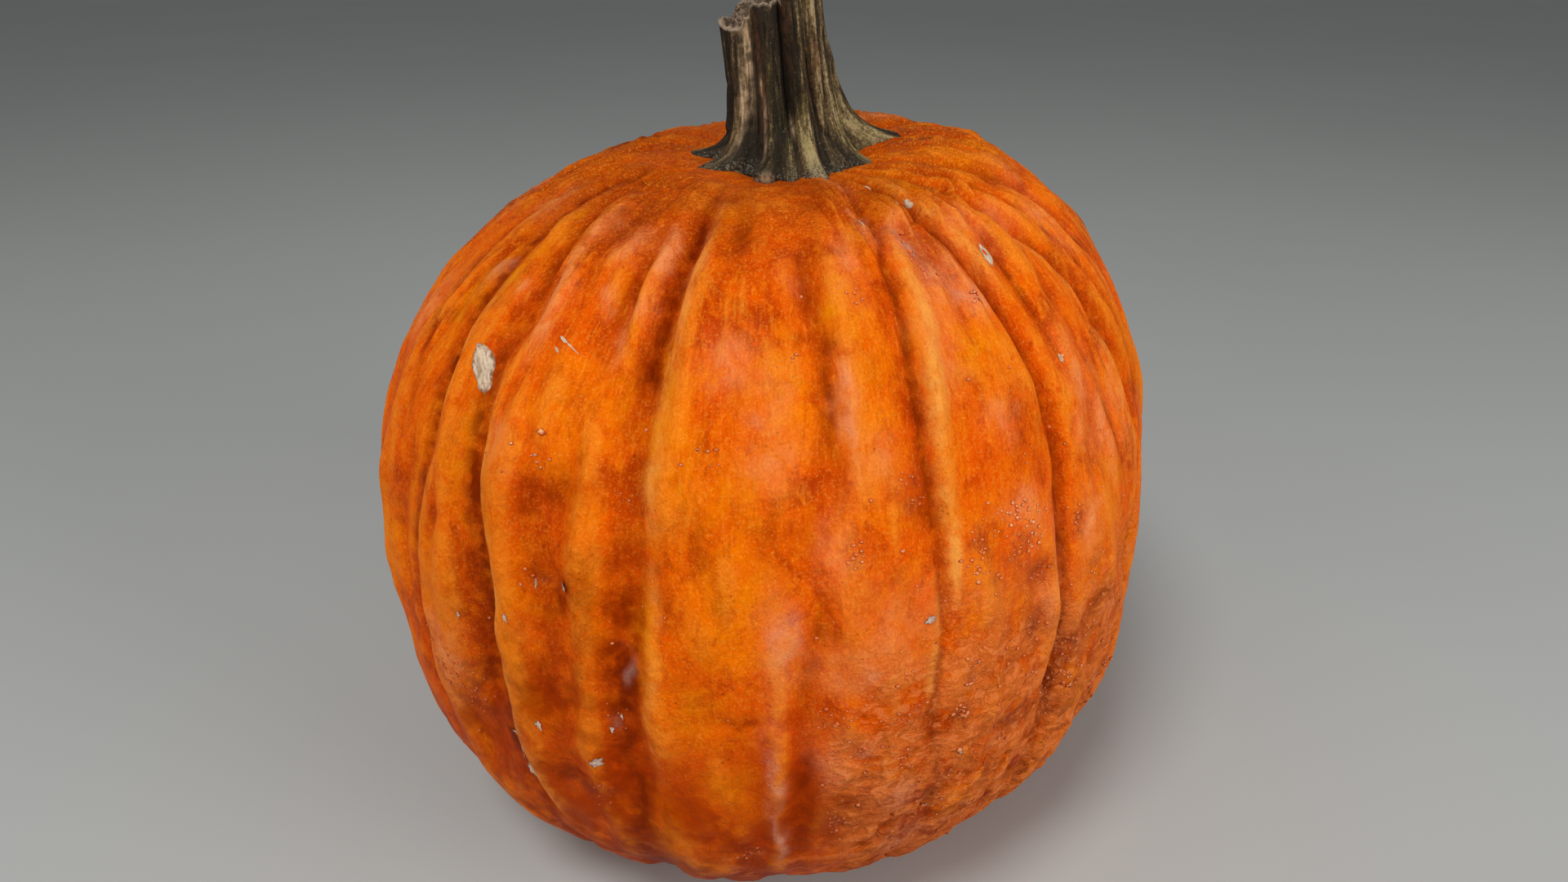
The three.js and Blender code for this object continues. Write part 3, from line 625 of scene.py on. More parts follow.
BRUISE_PATCHES = [
    (36, 7.5, 2.2, 1.6, 0.6), (26, 14, 1.4, 2, 0.6), (35.8, 0.8, 1.8, 2, 0.8), (28, 9, 1.2, 1.6, 0.45),
    (44, -6.5, 2.4, 2, 0.7), (48.5, -6, 2.4, 2, 0.6), (43.5, -17.5, 3, 1.6, 0.5), (24.5, -2, 1, 2, 0.5),
    (23, -7, 1.2, 1.8, 0.6), (10, 15.5, 1.2, 2.2, 0.45), (17, 21.5, 1.6, 2, 0.5), (10.5, -8.5, 1.4, 1, 0.9),
    (7.5, -20.5, 2, 1.2, 0.5), (-4, -26.5, 2, 1.4, 0.6), (-23, -17, 3, 1.8, 0.6), (-26, 11.5, 1.6, 1.6, 0.5),
    (44.5, 11.5, 1.2, 2, 0.4), (33.5, 43.5, 1.4, 1.4, 0.5), (29.5, 48, 1, 2.4, 0.6), (-40, -9, 2, 5, 0.45),
    (41.5, -12, 2, 1.6, 0.5), (31, 11.5, 1.4, 1.2, 0.35), (15.5, -5.5, 2, 1.6, 0.4), (7, -6, 2, 1.8, 0.4),
    (33, -12.5, 2.6, 1.2, 0.6), (48, 4.5, 1.6, 1.6, 0.45), (56, -3, 2, 2.6, 0.5), (22, -16, 1.6, 1.4, 0.4),
]
STREAK_PATCHES = [(-16.3, 2.2, 0.55, 1.9, 1.0)]
FAR_PATCH_COUNT = 46
FAR_PATCH_RANGES = ((84, 278), (-50, 72), (1.4, 5.5), (2.5, 9), (0.25, 0.75))
NEAR_SIDE = 82


def tone(lon, lat, patches, seed):
    """How far a tone covers the skin: 1 less the product of what each patch leaves clear. Patches are named
    for the near side and strewn at random over the far side."""
    luck = np.random.default_rng(seed)
    strewn = np.column_stack([luck.uniform(low, high, FAR_PATCH_COUNT) for low, high in FAR_PATCH_RANGES])
    place = meridian_place(lon, lat, 1)
    shift_lon = lon + 1.3 * soft_noise(place, 7, seed + 1) + 0.6 * soft_noise(place, 3, seed + 2)
    shift_lat = lat + 1.3 * soft_noise(place, 7, seed + 3) + 0.6 * soft_noise(place, 3, seed + 4)
    left = np.ones(np.broadcast(lon, lat).shape)
    for at in list(patches) + list(strewn):
        left *= 1 - at[4] * patch(shift_lon, shift_lat, at)
    return 1 - left


def crease_bands(lon, lat, bands, patchy, seed):
    """Bands that run along creases, each a Gaussian across it, faded at its ends and broken up along its
    length."""
    place = meridian_place(lon, lat, 1)
    waver = crease_waver(lon, lat)
    blotch = 1 - 0.5 * patchy + patchy * soft_noise(meridian_place(lon, lat, 2), 7, seed)
    blotch = blotch + 0.4 * patchy * soft_noise(place, 3, seed + 1)
    left = np.ones(np.broadcast(lon, lat).shape)
    for index, low, high, strength, offset, width in bands:
        away = crease_away(CREASES[index], lon, lat) + waver
        band = strength * crease_span(lat, low, high) * blotch
        left *= 1 - np.clip(band * np.exp(-(((away - offset) / width) ** 2)), 0, 0.95)
    return 1 - left


def crease_lines(lon, lat):
    """The thin dark line of painted shade at the bottom of every crease and side crease."""
    waver = crease_waver(lon, lat)
    blotch = 0.7 + 0.5 * soft_noise(meridian_place(lon, lat, 2), 6, 47)
    left = np.ones(np.broadcast(lon, lat).shape)
    for crease in CREASES:
        away = crease_away(crease, lon, lat) + waver
        dark = (0.15 + 0.65 * crease[4]) * blotch * crease_depth(crease, lat) / 4
        left *= 1 - np.clip(dark * np.exp(-((away / 0.5) ** 2)), 0, 0.9)
    for side in SIDE_CREASES:
        away, rise = slanted(lon, lat, side)
        left *= 1 - 0.6 * np.exp(-((away / 0.6) ** 2)) * np.exp(-((rise / side[3]) ** 2))
    return 1 - left


def column_density(lon):
    """How close the skin's columns stand: closest round the middle of the front."""
    facing = np.cos(np.radians(lon))
    return 1 + 0.9 * facing**2 * (np.abs(lon) < 90) + 0.35 * facing


def row_density(lat):
    """How close the skin's rows stand: closest round the upper face."""
    return 1 + 0.9 * np.exp(-(((lat - 18) / 48) ** 2))


column_lons = spread(-180, 180, SKIN_COLUMNS + 1, column_density)[:-1]
row_lats = spread(-90, 90, SKIN_ROWS + 2, row_density)[1:-1]
grid_lon, grid_lat = np.meshgrid(column_lons, row_lats)


def shaded_underside(lon, lat):
    """1 underneath, where the skin turns away to the ground and takes painted shade, and in the lower
    middle of the front."""
    return np.minimum(smoothstep(6, -46, lat) + 0.85 * patch(lon, lat, (-2, -27, 24, 16)), 1)


def smoothed(field, reach):
    """A field on the skin's grid, averaged three times over with its neighbours round each ring and up each
    column."""
    span = 2 * reach + 1
    for _ in range(3):
        field = sum(np.roll(field, k, axis=1) for k in range(-reach, reach + 1)) / span
        padded = np.pad(field, ((reach, reach), (0, 0)), mode="edge")
        field = sum(padded[k : k + len(field)] for k in range(span)) / span
    return field


# How far the skin stands above or below what is around it, in millimetres.
skin_relief = lobe_relief(grid_lon, grid_lat) + fine_relief(grid_lon, grid_lat)
stand = np.concatenate([[0], (skin_relief - smoothed(skin_relief, 5)).ravel(), [0]])
skin_lon = np.concatenate([[0], grid_lon.ravel(), [0]])
skin_lat = np.concatenate([[-90], grid_lat.ravel(), [90]])
skin_weathered = weathered(skin_lon, skin_lat)
near_side = np.abs(turn(skin_lon, 0)) < NEAR_SIDE
rind = make_mesh(
    "rind",
    skin_point(skin_lon, skin_lat),
    closed_faces(SKIN_ROWS, SKIN_COLUMNS),
    {
        # The skin's russet, and painted shade in its dents.
        "russet_and_shade": tone(skin_lon, skin_lat, RUSSET_AND_DENT_SHADE_PATCHES, 101),
        "ochre": tone(skin_lon, skin_lat, OCHRE_PATCHES, 202),
        # A painted pinkish highlight, the sheen on ridges and swells.
        "sheen_highlight": tone(skin_lon, skin_lat, SHEEN_HIGHLIGHT_PATCHES, 303),
        "scarlet": tone(skin_lon, skin_lat, SCARLET_PATCHES, 404),
        "lilac": tone(skin_lon, skin_lat, LILAC_PATCHES, 505) * near_side,
        # Painted shade on the walls of creases.
        "crease_shade": crease_bands(skin_lon, skin_lat, CREASE_WALL_SHADES, 0.5, 41),
        # Painted shade: a thin dark line at the bottom of each crease.
        "line": crease_lines(skin_lon, skin_lat),
        # A painted highlight along the raised lip of each crease.
        "lip": crease_bands(skin_lon, skin_lat, CREASE_LIPS_AND_HIGHLIGHTS, 0.5, 43),
        "weather": skin_weathered,
        # Painted shade underneath and in the lower middle of the front.
        "under": shaded_underside(skin_lon, skin_lat),
        "bruise": tone(skin_lon, skin_lat, BRUISE_PATCHES, 606),
        "bloom": tone(skin_lon, skin_lat, STREAK_PATCHES, 707) * near_side,
        "upper": 0.3 + 0.7 * smoothstep(0, 45, skin_lat) + 1.1 * smoothstep(50, 64, skin_lat),
        "wrinkled": np.clip(
            0.8 * skin_weathered * smoothstep(4, -14, skin_lat) + 0.8 * smoothstep(-18, -34, skin_lat), 0, 1
        ),
        # Darker near the stem: the skin's browner tone, and painted shade against the light from above.
        "browner_shaded_neck": smoothstep(44, 66, skin_lat),
        # Painted highlight on the crests, where the skin stands above what is around it.
        "crest_highlight": smoothstep(0.10, 1.1, stand),
        # Painted shade in the hollows, where the skin lies below what is around it.
        "hollow": smoothstep(-0.10, -1.1, stand),
    },
    {
        "meridian": meridian_place(skin_lon, skin_lat, SKIN_STRETCH) * MM,
        "streak": meridian_place(skin_lon, skin_lat, STREAK_STRETCH) * MM,
    },
)


def node(tree, kind, **settings):
    """A new node with its settings, and with values for the sockets given by name."""
    made = tree.nodes.new(kind)
    for name, value in settings.items():
        if name[0].isupper():
            made.inputs[name.replace("_", " ")].default_value = value
        else:
            setattr(made, name, value)
    return made


def mask(tree, label):
    """A float mask kept on the piece's points."""
    return node(tree, "ShaderNodeAttribute", attribute_name=label).outputs["Fac"]


def kept_place(tree, label):
    """A vector place kept on the piece's points."""
    return node(tree, "ShaderNodeAttribute", attribute_name=label).outputs["Vector"]


def noise(tree, place, scale, detail=4.0, roughness=0.55, distortion=0.0):
    """Noise of so many features to the metre, read at a place."""
    made = node(tree, "ShaderNodeTexNoise", Scale=scale, Detail=detail)
    made.inputs["Roughness"].default_value = roughness
    made.inputs["Distortion"].default_value = distortion
    tree.links.new(place, made.inputs["Vector"])
    return made.outputs["Fac"]


def remap(tree, value, low, high, to_low=0.0, to_high=1.0):
    """A value stretched from one range to another along a smooth S."""
    made = node(tree, "ShaderNodeMapRange", interpolation_type="SMOOTHSTEP")
    made.inputs["From Min"].default_value = low
    made.inputs["From Max"].default_value = high
    made.inputs["To Min"].default_value = to_low
    made.inputs["To Max"].default_value = to_high
    tree.links.new(value, made.inputs["Value"])
    return made.outputs["Result"]


def fill(tree, slot, value):
    """Sets a socket to a number or to a colour as three numbers, or links another socket to it."""
    if isinstance(value, (int, float)):
        slot.default_value = value
    elif isinstance(value, tuple):
        slot.default_value = (*value, 1.0)
    else:
        tree.links.new(value, slot)


def calc(tree, operation, a, b, clamp=False):
    """Arithmetic on two values, each a socket or a number."""
    made = node(tree, "ShaderNodeMath", operation=operation, use_clamp=clamp)
    for slot, value in zip(made.inputs, (a, b)):
        fill(tree, slot, value)
    return made.outputs["Value"]


def times(tree, a, b, clamp=False):
    """One value multiplied by another."""
    return calc(tree, "MULTIPLY", a, b, clamp)


def plus(tree, a, b):
    """The sum of two values."""
    return calc(tree, "ADD", a, b)


def minus(tree, a, b, clamp=False):
    """One value less another."""
    return calc(tree, "SUBTRACT", a, b, clamp)


def blend_colour(tree, share, under, over, way="MIX"):
    """One colour laid over another by a share. Each is a socket, or a colour as three numbers."""
    made = node(tree, "ShaderNodeMix", data_type="RGBA", blend_type=way)
    for slot, value in zip((made.inputs[0], made.inputs[6], made.inputs[7]), (share, under, over)):
        fill(tree, slot, value)
    return made.outputs[2]


def lay(tree, colour, share, strength, paint, clamp=False):
    """A paint laid over a colour, by a share times a strength."""
    return blend_colour(tree, times(tree, share, strength, clamp), colour, paint)


def group_node(tree, group, **values):
    """A node that places a group, with its sockets set to values or linked to sockets."""
    made = tree.nodes.new("ShaderNodeGroup")
    made.node_tree = group
    for name, value in values.items():
        fill(tree, made.inputs[name], value)
    return made


def new_group(name, inputs, outputs):
    """An empty shader group with named sockets: Vector, Float or Color."""
    group = bpy.data.node_groups.new(name, "ShaderNodeTree")
    for label, kind, value in inputs:
        made = group.interface.new_socket(name=label, in_out="INPUT", socket_type="NodeSocket" + kind)
        if value is not None:
            made.default_value = value
    for label, kind in outputs:
        group.interface.new_socket(name=label, in_out="OUTPUT", socket_type="NodeSocket" + kind)
    return group, group.nodes.new("NodeGroupInput"), group.nodes.new("NodeGroupOutput")


def new_material(name, specular):
    """A new material, its node tree and surface shader, and the place on the piece in object coordinates."""
    made = bpy.data.materials.new(name)
    made.use_nodes = True
    tree = made.node_tree
    surface = tree.nodes["Principled BSDF"]
    surface.inputs["Specular IOR Level"].default_value = specular
    return made, tree, surface, node(tree, "ShaderNodeTexCoord").outputs["Object"]


def dress(tree, surface, colour, roughness, height, strength, distance):
    """Gives a surface its colour, its roughness, and a bump from a height."""
    tree.links.new(colour, surface.inputs["Base Color"])
    tree.links.new(roughness, surface.inputs["Roughness"])
    bump = node(tree, "ShaderNodeBump", Strength=strength, Distance=distance)
    tree.links.new(height, bump.inputs["Height"])
    tree.links.new(bump.outputs["Normal"], surface.inputs["Normal"])


# Mottle: breaks a smooth mask into the cloudy, speckled edge that pigment in a skin or bark has.
mottle_group, given, taken = new_group(
    "mottle",
    [("Mask", "Float", 0.5), ("Place", "Vector", None), ("Scale", "Float", 200.0), ("Bite", "Float", 0.6)],
    [("Mask", "Float")],
)
speckle = node(mottle_group, "ShaderNodeTexNoise", Detail=3.5, Roughness=0.52, Distortion=0.3)
mottle_group.links.new(given.outputs["Place"], speckle.inputs["Vector"])
mottle_group.links.new(given.outputs["Scale"], speckle.inputs["Scale"])
swing = remap(mottle_group, speckle.outputs["Fac"], 0.34, 0.66, -1.0, 0.75)
swing = times(mottle_group, swing, given.outputs["Bite"])
swing = times(mottle_group, plus(mottle_group, swing, 1.0), given.outputs["Mask"], clamp=True)
mottle_group.links.new(swing, taken.inputs["Mask"])


def mottled(tree, place, label, scale, bite):
    """One of a piece's masks with a mottled edge."""
    held = mask(tree, label)
    return group_node(tree, mottle_group, Mask=held, Place=place, Scale=scale, Bite=bite).outputs["Mask"]



# Skin colour: the orange of the rind itself, clouded and streaked, for the rind and what grows out of it.
ORANGE = (0.87, 0.104, 0.0003)
DEEP_ORANGE = (0.52, 0.044, 0.0002)
GOLD_ORANGE = (0.94, 0.175, 0.0004)
skin_group, given, taken = new_group(
    "skin_colour",
    [("Place", "Vector", None), ("Meridian", "Vector", None)],
    [("Color", "Color"), ("Cloud", "Float"), ("Fibre", "Float")],
)
cloud = noise(skin_group, given.outputs["Place"], 52, 5.0, 0.58, 1.0)
curd = noise(skin_group, given.outputs["Meridian"], 230, 4.0, 0.58, 0.9)
fibre = noise(skin_group, given.outputs["Meridian"], 700, 4.0, 0.6, 0.4)
colour = ORANGE
for pattern, low, high, most, paint in (
    (cloud, 0.50, 0.34, 1.00, DEEP_ORANGE),
    (cloud, 0.50, 0.68, 1.00, GOLD_ORANGE),
    (curd, 0.48, 0.32, 0.65, DEEP_ORANGE),
    (curd, 0.50, 0.68, 0.70, GOLD_ORANGE),
    (fibre, 0.48, 0.28, 0.35, DEEP_ORANGE),
    (fibre, 0.52, 0.74, 0.35, GOLD_ORANGE),
):
    colour = blend_colour(skin_group, remap(skin_group, pattern, low, high, 0.0, most), colour, paint)
skin_group.links.new(colour, taken.inputs["Color"])
skin_group.links.new(cloud, taken.inputs["Cloud"])
skin_group.links.new(fibre, taken.inputs["Fibre"])

# Each tone: mask, colour, strength, speckle scale, bite.
RIND_TONES = [
    # Painted shade underneath and in the lower middle of the front.
    ("under", (0.38, 0.036, 0.0002), 0.88, 80, 0.6),
    # Darker near the stem: the skin's browner tone, and painted shade against the light from above.
    ("browner_shaded_neck", (0.46, 0.056, 0.002), 0.68, 160, 0.6),
    ("scarlet", (0.68, 0.050, 0.001), 0.80, 190, 0.6),
    ("ochre", (0.93, 0.260, 0.001), 1.00, 170, 0.6),
    # Painted shade in the skin's hollows.
    ("hollow", (0.48, 0.038, 0.0003), 0.50, 200, 0.5),
    # A painted highlight on the skin's crests.
    ("crest_highlight", (0.97, 0.240, 0.012), 0.66, 190, 0.7),
    # A painted pinkish highlight, the sheen on ridges and swells.
    ("sheen_highlight", (0.95, 0.285, 0.095), 1.00, 190, 0.6),
    ("weather", (0.78, 0.170, 0.030), 0.72, 120, 1.0),
    # A painted highlight along the raised lips of creases.
    ("lip", (0.96, 0.345, 0.055), 1.00, 240, 0.6),
    # The skin's russet, and painted shade in its dents.
    ("russet_and_shade", (0.22, 0.018, 0.0003), 0.86, 180, 0.6),
    # Painted shade on the walls of creases.
    ("crease_shade", (0.17, 0.014, 0.0003), 0.85, 200, 0.5),
    # Painted shade at the bottom of each crease.
    ("line", (0.10, 0.010, 0.0006), 0.85, 330, 0.5),
    ("bruise", (0.26, 0.042, 0.016), 0.80, 260, 0.7),
    ("lilac", (0.66, 0.290, 0.180), 0.85, 260, 0.5),
    ("bloom", (0.42, 0.215, 0.165), 0.75, 160, 0.4),
]

# The finer layers over the tones.
DARK_STREAK = (0.40, 0.042, 0.001)
PALE_STREAK = (0.98, 0.330, 0.022)
DARK_GRAIN = (0.32, 0.030, 0.0004)
PALE_GRAIN = (1.0, 0.42, 0.055)
PORE_BROWN = (0.24, 0.030, 0.002)
CRINKLE_BROWN = (0.24, 0.040, 0.006)
CRINKLE_PINK = (0.93, 0.31, 0.10)
SUNK_FOLD_SHADE = (0.20, 0.026, 0.002)
RAISED_FOLD_HIGHLIGHT = (0.94, 0.27, 0.07)
WAX_SHEEN = (1.0, 0.35, 0.05, 1.0)

rind_skin, tree, surface, place = new_material("rind_skin", 0.03)
surface.inputs["Specular Tint"].default_value = WAX_SHEEN
meridian = kept_place(tree, "meridian")
skin = group_node(tree, skin_group, Place=place, Meridian=meridian)
colour = skin.outputs["Color"]
masks = {}
for label, paint, strength, scale, bite in RIND_TONES:
    masks[label] = mottled(tree, place, label, scale, bite)
    colour = lay(tree, colour, masks[label], strength, paint, clamp=True)


def level_bands(height_scale, *settings):
    """Noise on the rind whose features lie in level bands, because its place is stretched upwards."""
    made = node(tree, "ShaderNodeVectorMath", operation="MULTIPLY")
    made.inputs[1].default_value = (1, 1, height_scale)
    tree.links.new(place, made.inputs[0])
    return noise(tree, made.outputs["Vector"], *settings)


# Streaks and grain, kept off the painted shade and the russet where they are pale, and pores in loose
# groups.
grain = noise(tree, place, 1500, 3.0, 0.6)
streak = noise(tree, kept_place(tree, "streak"), 900, 3.0, 0.55)
upper = mask(tree, "upper")
# Painted shade and russet together: crease walls, russet and dent patches, crease lines, underside.
shade_and_russet = plus(tree, plus(tree, masks["crease_shade"], masks["russet_and_shade"]), plus(tree, masks["line"], masks["under"]))
clear_of_shade_and_russet = minus(tree, 1.0, shade_and_russet, clamp=True)
dark_streak = times(tree, remap(tree, streak, 0.46, 0.30), upper)
pale_streak = times(tree, times(tree, remap(tree, streak, 0.54, 0.70), upper), clear_of_shade_and_russet)
pale_grain = times(tree, remap(tree, grain, 0.50, 0.72), clear_of_shade_and_russet)
pores = node(tree, "ShaderNodeTexVoronoi", Scale=620.0)
tree.links.new(place, pores.inputs["Vector"])
pore_groups = remap(tree, noise(tree, place, 90), 0.5, 0.66)
pore = times(tree, remap(tree, pores.outputs["Distance"], 0.30, 0.10), pore_groups)
colour = lay(tree, colour, dark_streak, 0.26, DARK_STREAK)
colour = lay(tree, colour, pale_streak, 0.30, PALE_STREAK)
colour = blend_colour(tree, remap(tree, grain, 0.32, 0.52, 0.12, 0.0), colour, DARK_GRAIN)
colour = lay(tree, colour, pale_grain, 0.30, PALE_GRAIN)
colour = lay(tree, colour, pore, 0.28, PORE_BROWN)

# Crinkles of the weathered skin, darker in their lines and paler between them, and the folds underneath,
# with painted shade in their sunk lines and a painted highlight on their raised ones.
ripple = calc(tree, "ABSOLUTE", minus(tree, level_bands(1.5, 170, 4.0, 0.58, 1.2), 0.5), 0.0)
crinkle = times(tree, remap(tree, ripple, 0.055, 0.0), mask(tree, "weather"))
between_crinkles = times(tree, remap(tree, ripple, 0.07, 0.15), mask(tree, "weather"))
level_fold = level_bands(1.7, 105, 4.0, 0.58, 1.0)
wrinkled = mask(tree, "wrinkled")
sunk = times(tree, remap(tree, level_fold, 0.48, 0.38), wrinkled)
raised = times(tree, remap(tree, level_fold, 0.54, 0.64), wrinkled)
colour = lay(tree, colour, crinkle, 0.13, CRINKLE_BROWN)
colour = lay(tree, colour, between_crinkles, 0.32, CRINKLE_PINK)
# Painted shade in the sunk folds and a painted highlight on the raised ones.
colour = lay(tree, colour, sunk, 0.44, SUNK_FOLD_SHADE)
colour = lay(tree, colour, raised, 0.32, RAISED_FOLD_HIGHLIGHT)

dull = remap(tree, skin.outputs["Cloud"], 0.35, 0.7, 0.40, 0.52)
dull = plus(tree, dull, times(tree, masks["weather"], 0.14))
dull = plus(tree, dull, remap(tree, grain, 0.3, 0.7, -0.05, 0.07))
height = times(tree, remap(tree, skin.outputs["Fibre"], 0.25, 0.75), 0.5)
height = plus(tree, height, times(tree, grain, 0.20))
height = plus(tree, height, times(tree, noise(tree, meridian, 360, 4.0, 0.6, 0.8), 0.8))
height = minus(tree, height, times(tree, pore, 0.35))
height = minus(tree, height, times(tree, crinkle, 0.30))
height = plus(tree, height, times(tree, minus(tree, raised, sunk), 0.6))
height = plus(tree, height, times(tree, times(tree, streak, upper), 0.5))
dress(tree, surface, colour, dull, height, 0.8, 0.0006)

rind.data.materials.append(rind_skin)
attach(rind, "root")
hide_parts("fruit")

# --------------------------------------------------------------------------------------------------
# Pimples and warts: hard little domes that the skin grew over old stings and scuffs, in loose clusters. Each
# one has a pale dry tip with a painted highlight, and a painted shadow round its foot, and is rooted in
# the rind.
# --------------------------------------------------------------------------------------------------

# Clusters: longitude, latitude, spread in longitude and latitude, how many, radius, and how pale.
PIMPLE_CLUSTERS = [
    (32.5, 16.0, 2.8, 1.8, 34, 0.46, 1.0),
    (34.5, 13.0, 1.8, 1.4, 22, 0.48, 1.0),
    (36.5, 7.3, 1.4, 0.9, 12, 0.48, 0.2),
    (10.0, 15.8, 0.9, 1.6, 13, 0.46, 0.4),
    (26.0, 14.0, 0.9, 1.2, 9, 0.50, 0.4),
    (25.5, 11.6, 0.8, 1.2, 7, 0.48, 0.5),
    (28.0, 9.0, 0.8, 1.0, 5, 0.48, 0.5),
    (30.5, 11.5, 0.8, 0.8, 4, 0.45, 0.6),
    (17.0, 21.5, 1.4, 1.6, 16, 0.44, 0.3),
    (35.8, 0.6, 1.4, 1.6, 15, 0.48, 0.2),
    (34.0, 4.0, 0.9, 1.0, 4, 0.42, 0.6),
    (44.0, -6.5, 1.6, 1.6, 12, 0.50, 0.3),
    (48.5, -6.0, 1.4, 1.6, 9, 0.45, 0.4),
    (56.0, -2.5, 1.8, 2.0, 9, 0.45, 0.3),
    (48.5, 4.5, 1.4, 1.2, 7, 0.40, 0.5),
    (44.5, 11.5, 0.9, 1.4, 9, 0.42, 0.3),
    (41.5, -12.0, 1.3, 1.3, 13, 0.50, 0.7),
    (44.5, -12.0, 1.3, 1.5, 15, 0.52, 0.9),
    (31.5, -1.5, 1.4, 1.2, 5, 0.45, 0.4),
    (23.3, -6.2, 1.0, 1.4, 16, 0.52, 0.5),
    (24.6, -1.6, 0.7, 1.2, 10, 0.50, 0.6),
    (25.0, 0.8, 0.7, 0.8, 4, 0.42, 0.5),
    (16.0, -5.2, 1.6, 1.2, 12, 0.42, 0.3),
    (16.0, 0.5, 1.2, 1.0, 5, 0.40, 0.5),
    (7.3, -5.8, 1.8, 1.6, 18, 0.45, 0.3),
    (10.5, -8.4, 0.8, 0.6, 5, 0.50, 0.1),
    (15.0, -10.5, 1.4, 1.0, 7, 0.44, 0.5),
    (22.0, -16.0, 1.6, 1.2, 7, 0.44, 0.5),
    (7.2, -19.5, 1.5, 1.5, 13, 0.46, 0.4),
    (43.5, -17.5, 1.8, 1.2, 8, 0.44, 0.4),
    (32.5, -12.5, 2.0, 1.2, 7, 0.42, 0.3),
    (29.0, -7.5, 1.2, 1.2, 4, 0.44, 0.5),
    (28.6, 50.0, 0.7, 3.2, 16, 0.42, 0.3),
    (31.5, 45.2, 1.6, 1.2, 12, 0.44, 0.4),
    (36.5, 40.0, 1.4, 0.7, 9, 0.46, 0.7),
    (15.0, 43.5, 1.2, 1.4, 6, 0.45, 0.5),
    (3.5, 37.0, 1.4, 1.0, 6, 0.38, 0.7),
    (-7.0, 27.5, 1.8, 1.4, 8, 0.40, 0.5),
    (-29.5, 25.0, 3.0, 2.0, 10, 0.42, 0.4),
    (-17.5, 22.8, 0.9, 0.5, 3, 0.50, 0.5),
    (-28.0, 11.5, 1.2, 1.2, 4, 0.42, 0.5),
    (-43.0, -8.0, 2.6, 3.6, 26, 0.42, 0.4),
    (-40.0, -12.0, 2.0, 3.0, 16, 0.40, 0.3),
    (-19.0, -6.0, 1.2, 2.4, 6, 0.42, 0.6),
    (-22.0, -17.0, 2.0, 2.0, 11, 0.38, 0.1),
    (-4.0, -26.5, 1.4, 1.0, 10, 0.42, 0.3),
    (58.0, -20.0, 4.0, 3.0, 26, 0.48, 0.5),
    (20.0, -22.0, 5.0, 4.0, 16, 0.40, 0.5),
    (120.0, 10.0, 4.0, 5.0, 30, 0.46, 0.6),
    (160.0, -12.0, 6.0, 5.0, 34, 0.44, 0.5),
    (-150.0, 20.0, 4.0, 4.0, 26, 0.46, 0.6),
    (-110.0, -8.0, 5.0, 5.0, 30, 0.44, 0.5),
    (-95.0, 30.0, 3.0, 3.0, 14, 0.42, 0.5),
]

# Scattered pimples: how many, from and to longitude, middle and spread of latitude, least and most radius.
SCATTERED = [
    (150, 0, 360, 2, 34, 0.2, 0.42),
    (150, 5, 62, -8, 15, 0.28, 0.62),
]
PIMPLE_LATS = (-58, 62)

# Warts that stand alone: longitude, latitude, radius, and how pale.
WARTS = [
    (-27.7, 28.8, 0.95, 1.0), (-31.1, 26.9, 0.6, 0.9), (15.8, 15.6, 0.85, 0.6), (-15.4, 30.4, 0.55, 0.5),
    (-28.6, 26.0, 0.5, 0.5), (-18.2, 5.2, 0.6, 0.9), (48.6, 30.0, 0.8, 0.8), (-37.0, 2.2, 0.6, 0.6),
    (6.4, 45.6, 0.6, 0.5), (5.6, -13.8, 0.6, 0.5), (23.5, -12.4, 0.9, 0.9), (10.0, -17.2, 0.6, 0.5),
]
DOME_COLUMNS = 9
DOME_RINGS = ((1.45, -0.30), (1.05, 0.02), (0.80, 0.42), (0.44, 0.70))  # reach and lift, in radii
DOME_TIP = 0.78
DOME_FOOT = -0.45


def skin_frames(lon, lat):
    """At each place: the skin's point, the ways east and north along it, and the way out, each one metre
    long."""
    step = 0.15
    at = skin_point(lon, lat)
    east = skin_point(lon + step, lat) - skin_point(lon - step, lat)
    north = skin_point(lon, lat + step) - skin_point(lon, lat - step)
    out = np.cross(east, north)
    out /= np.linalg.norm(out, axis=-1, keepdims=True)
    north /= np.linalg.norm(north, axis=-1, keepdims=True)
    return at, np.cross(north, out), north, out


def repeated_faces(faces, point_count, times_over):
    """The faces of one shape, repeated for as many copies whose points follow each other."""
    return [[corner + k * point_count for corner in face] for k in range(times_over) for face in faces]


luck = np.random.default_rng(77)
pimple_at = [np.array(WARTS)]
for lon, lat, wide, tall, count, radius, pale in PIMPLE_CLUSTERS:
    pimple_at.append(np.column_stack([
        luck.normal(lon, 0.75 * wide, count),
        luck.normal(lat, 0.75 * tall, count),
        radius * luck.uniform(0.45, 1.5, count),
        pale * luck.uniform(0.2, 1.2, count),
    ]))
for count, low, high, middle, reach, least, most in SCATTERED:
    pimple_at.append(np.column_stack([
        luck.uniform(low, high, count),
        luck.normal(middle, reach, count),
        luck.uniform(least, most, count),
        luck.uniform(0, 0.6, count),
    ]))
pimple_lon, pimple_lat, pimple_radius, pimple_pale = np.concatenate(pimple_at).T
pimple_lat = np.clip(pimple_lat, *PIMPLE_LATS)
count = len(pimple_lon)
angle = np.linspace(0, 2 * math.pi, DOME_COLUMNS, endpoint=False)
ring_reach, ring_lift = np.array(DOME_RINGS).T
dome_reach = np.concatenate([[0], np.repeat(ring_reach, DOME_COLUMNS), [0]])
dome_lift = np.concatenate([[DOME_FOOT], np.repeat(ring_lift, DOME_COLUMNS), [DOME_TIP]])
dome_angle = np.concatenate([[0], np.tile(angle, len(DOME_RINGS)), [0]])
uneven = 1 + luck.uniform(-0.24, 0.24, (count, len(dome_reach)))
oval = luck.uniform(0.55, 1.0, (count, 1))
spun = dome_angle + luck.uniform(0, math.pi, (count, 1))
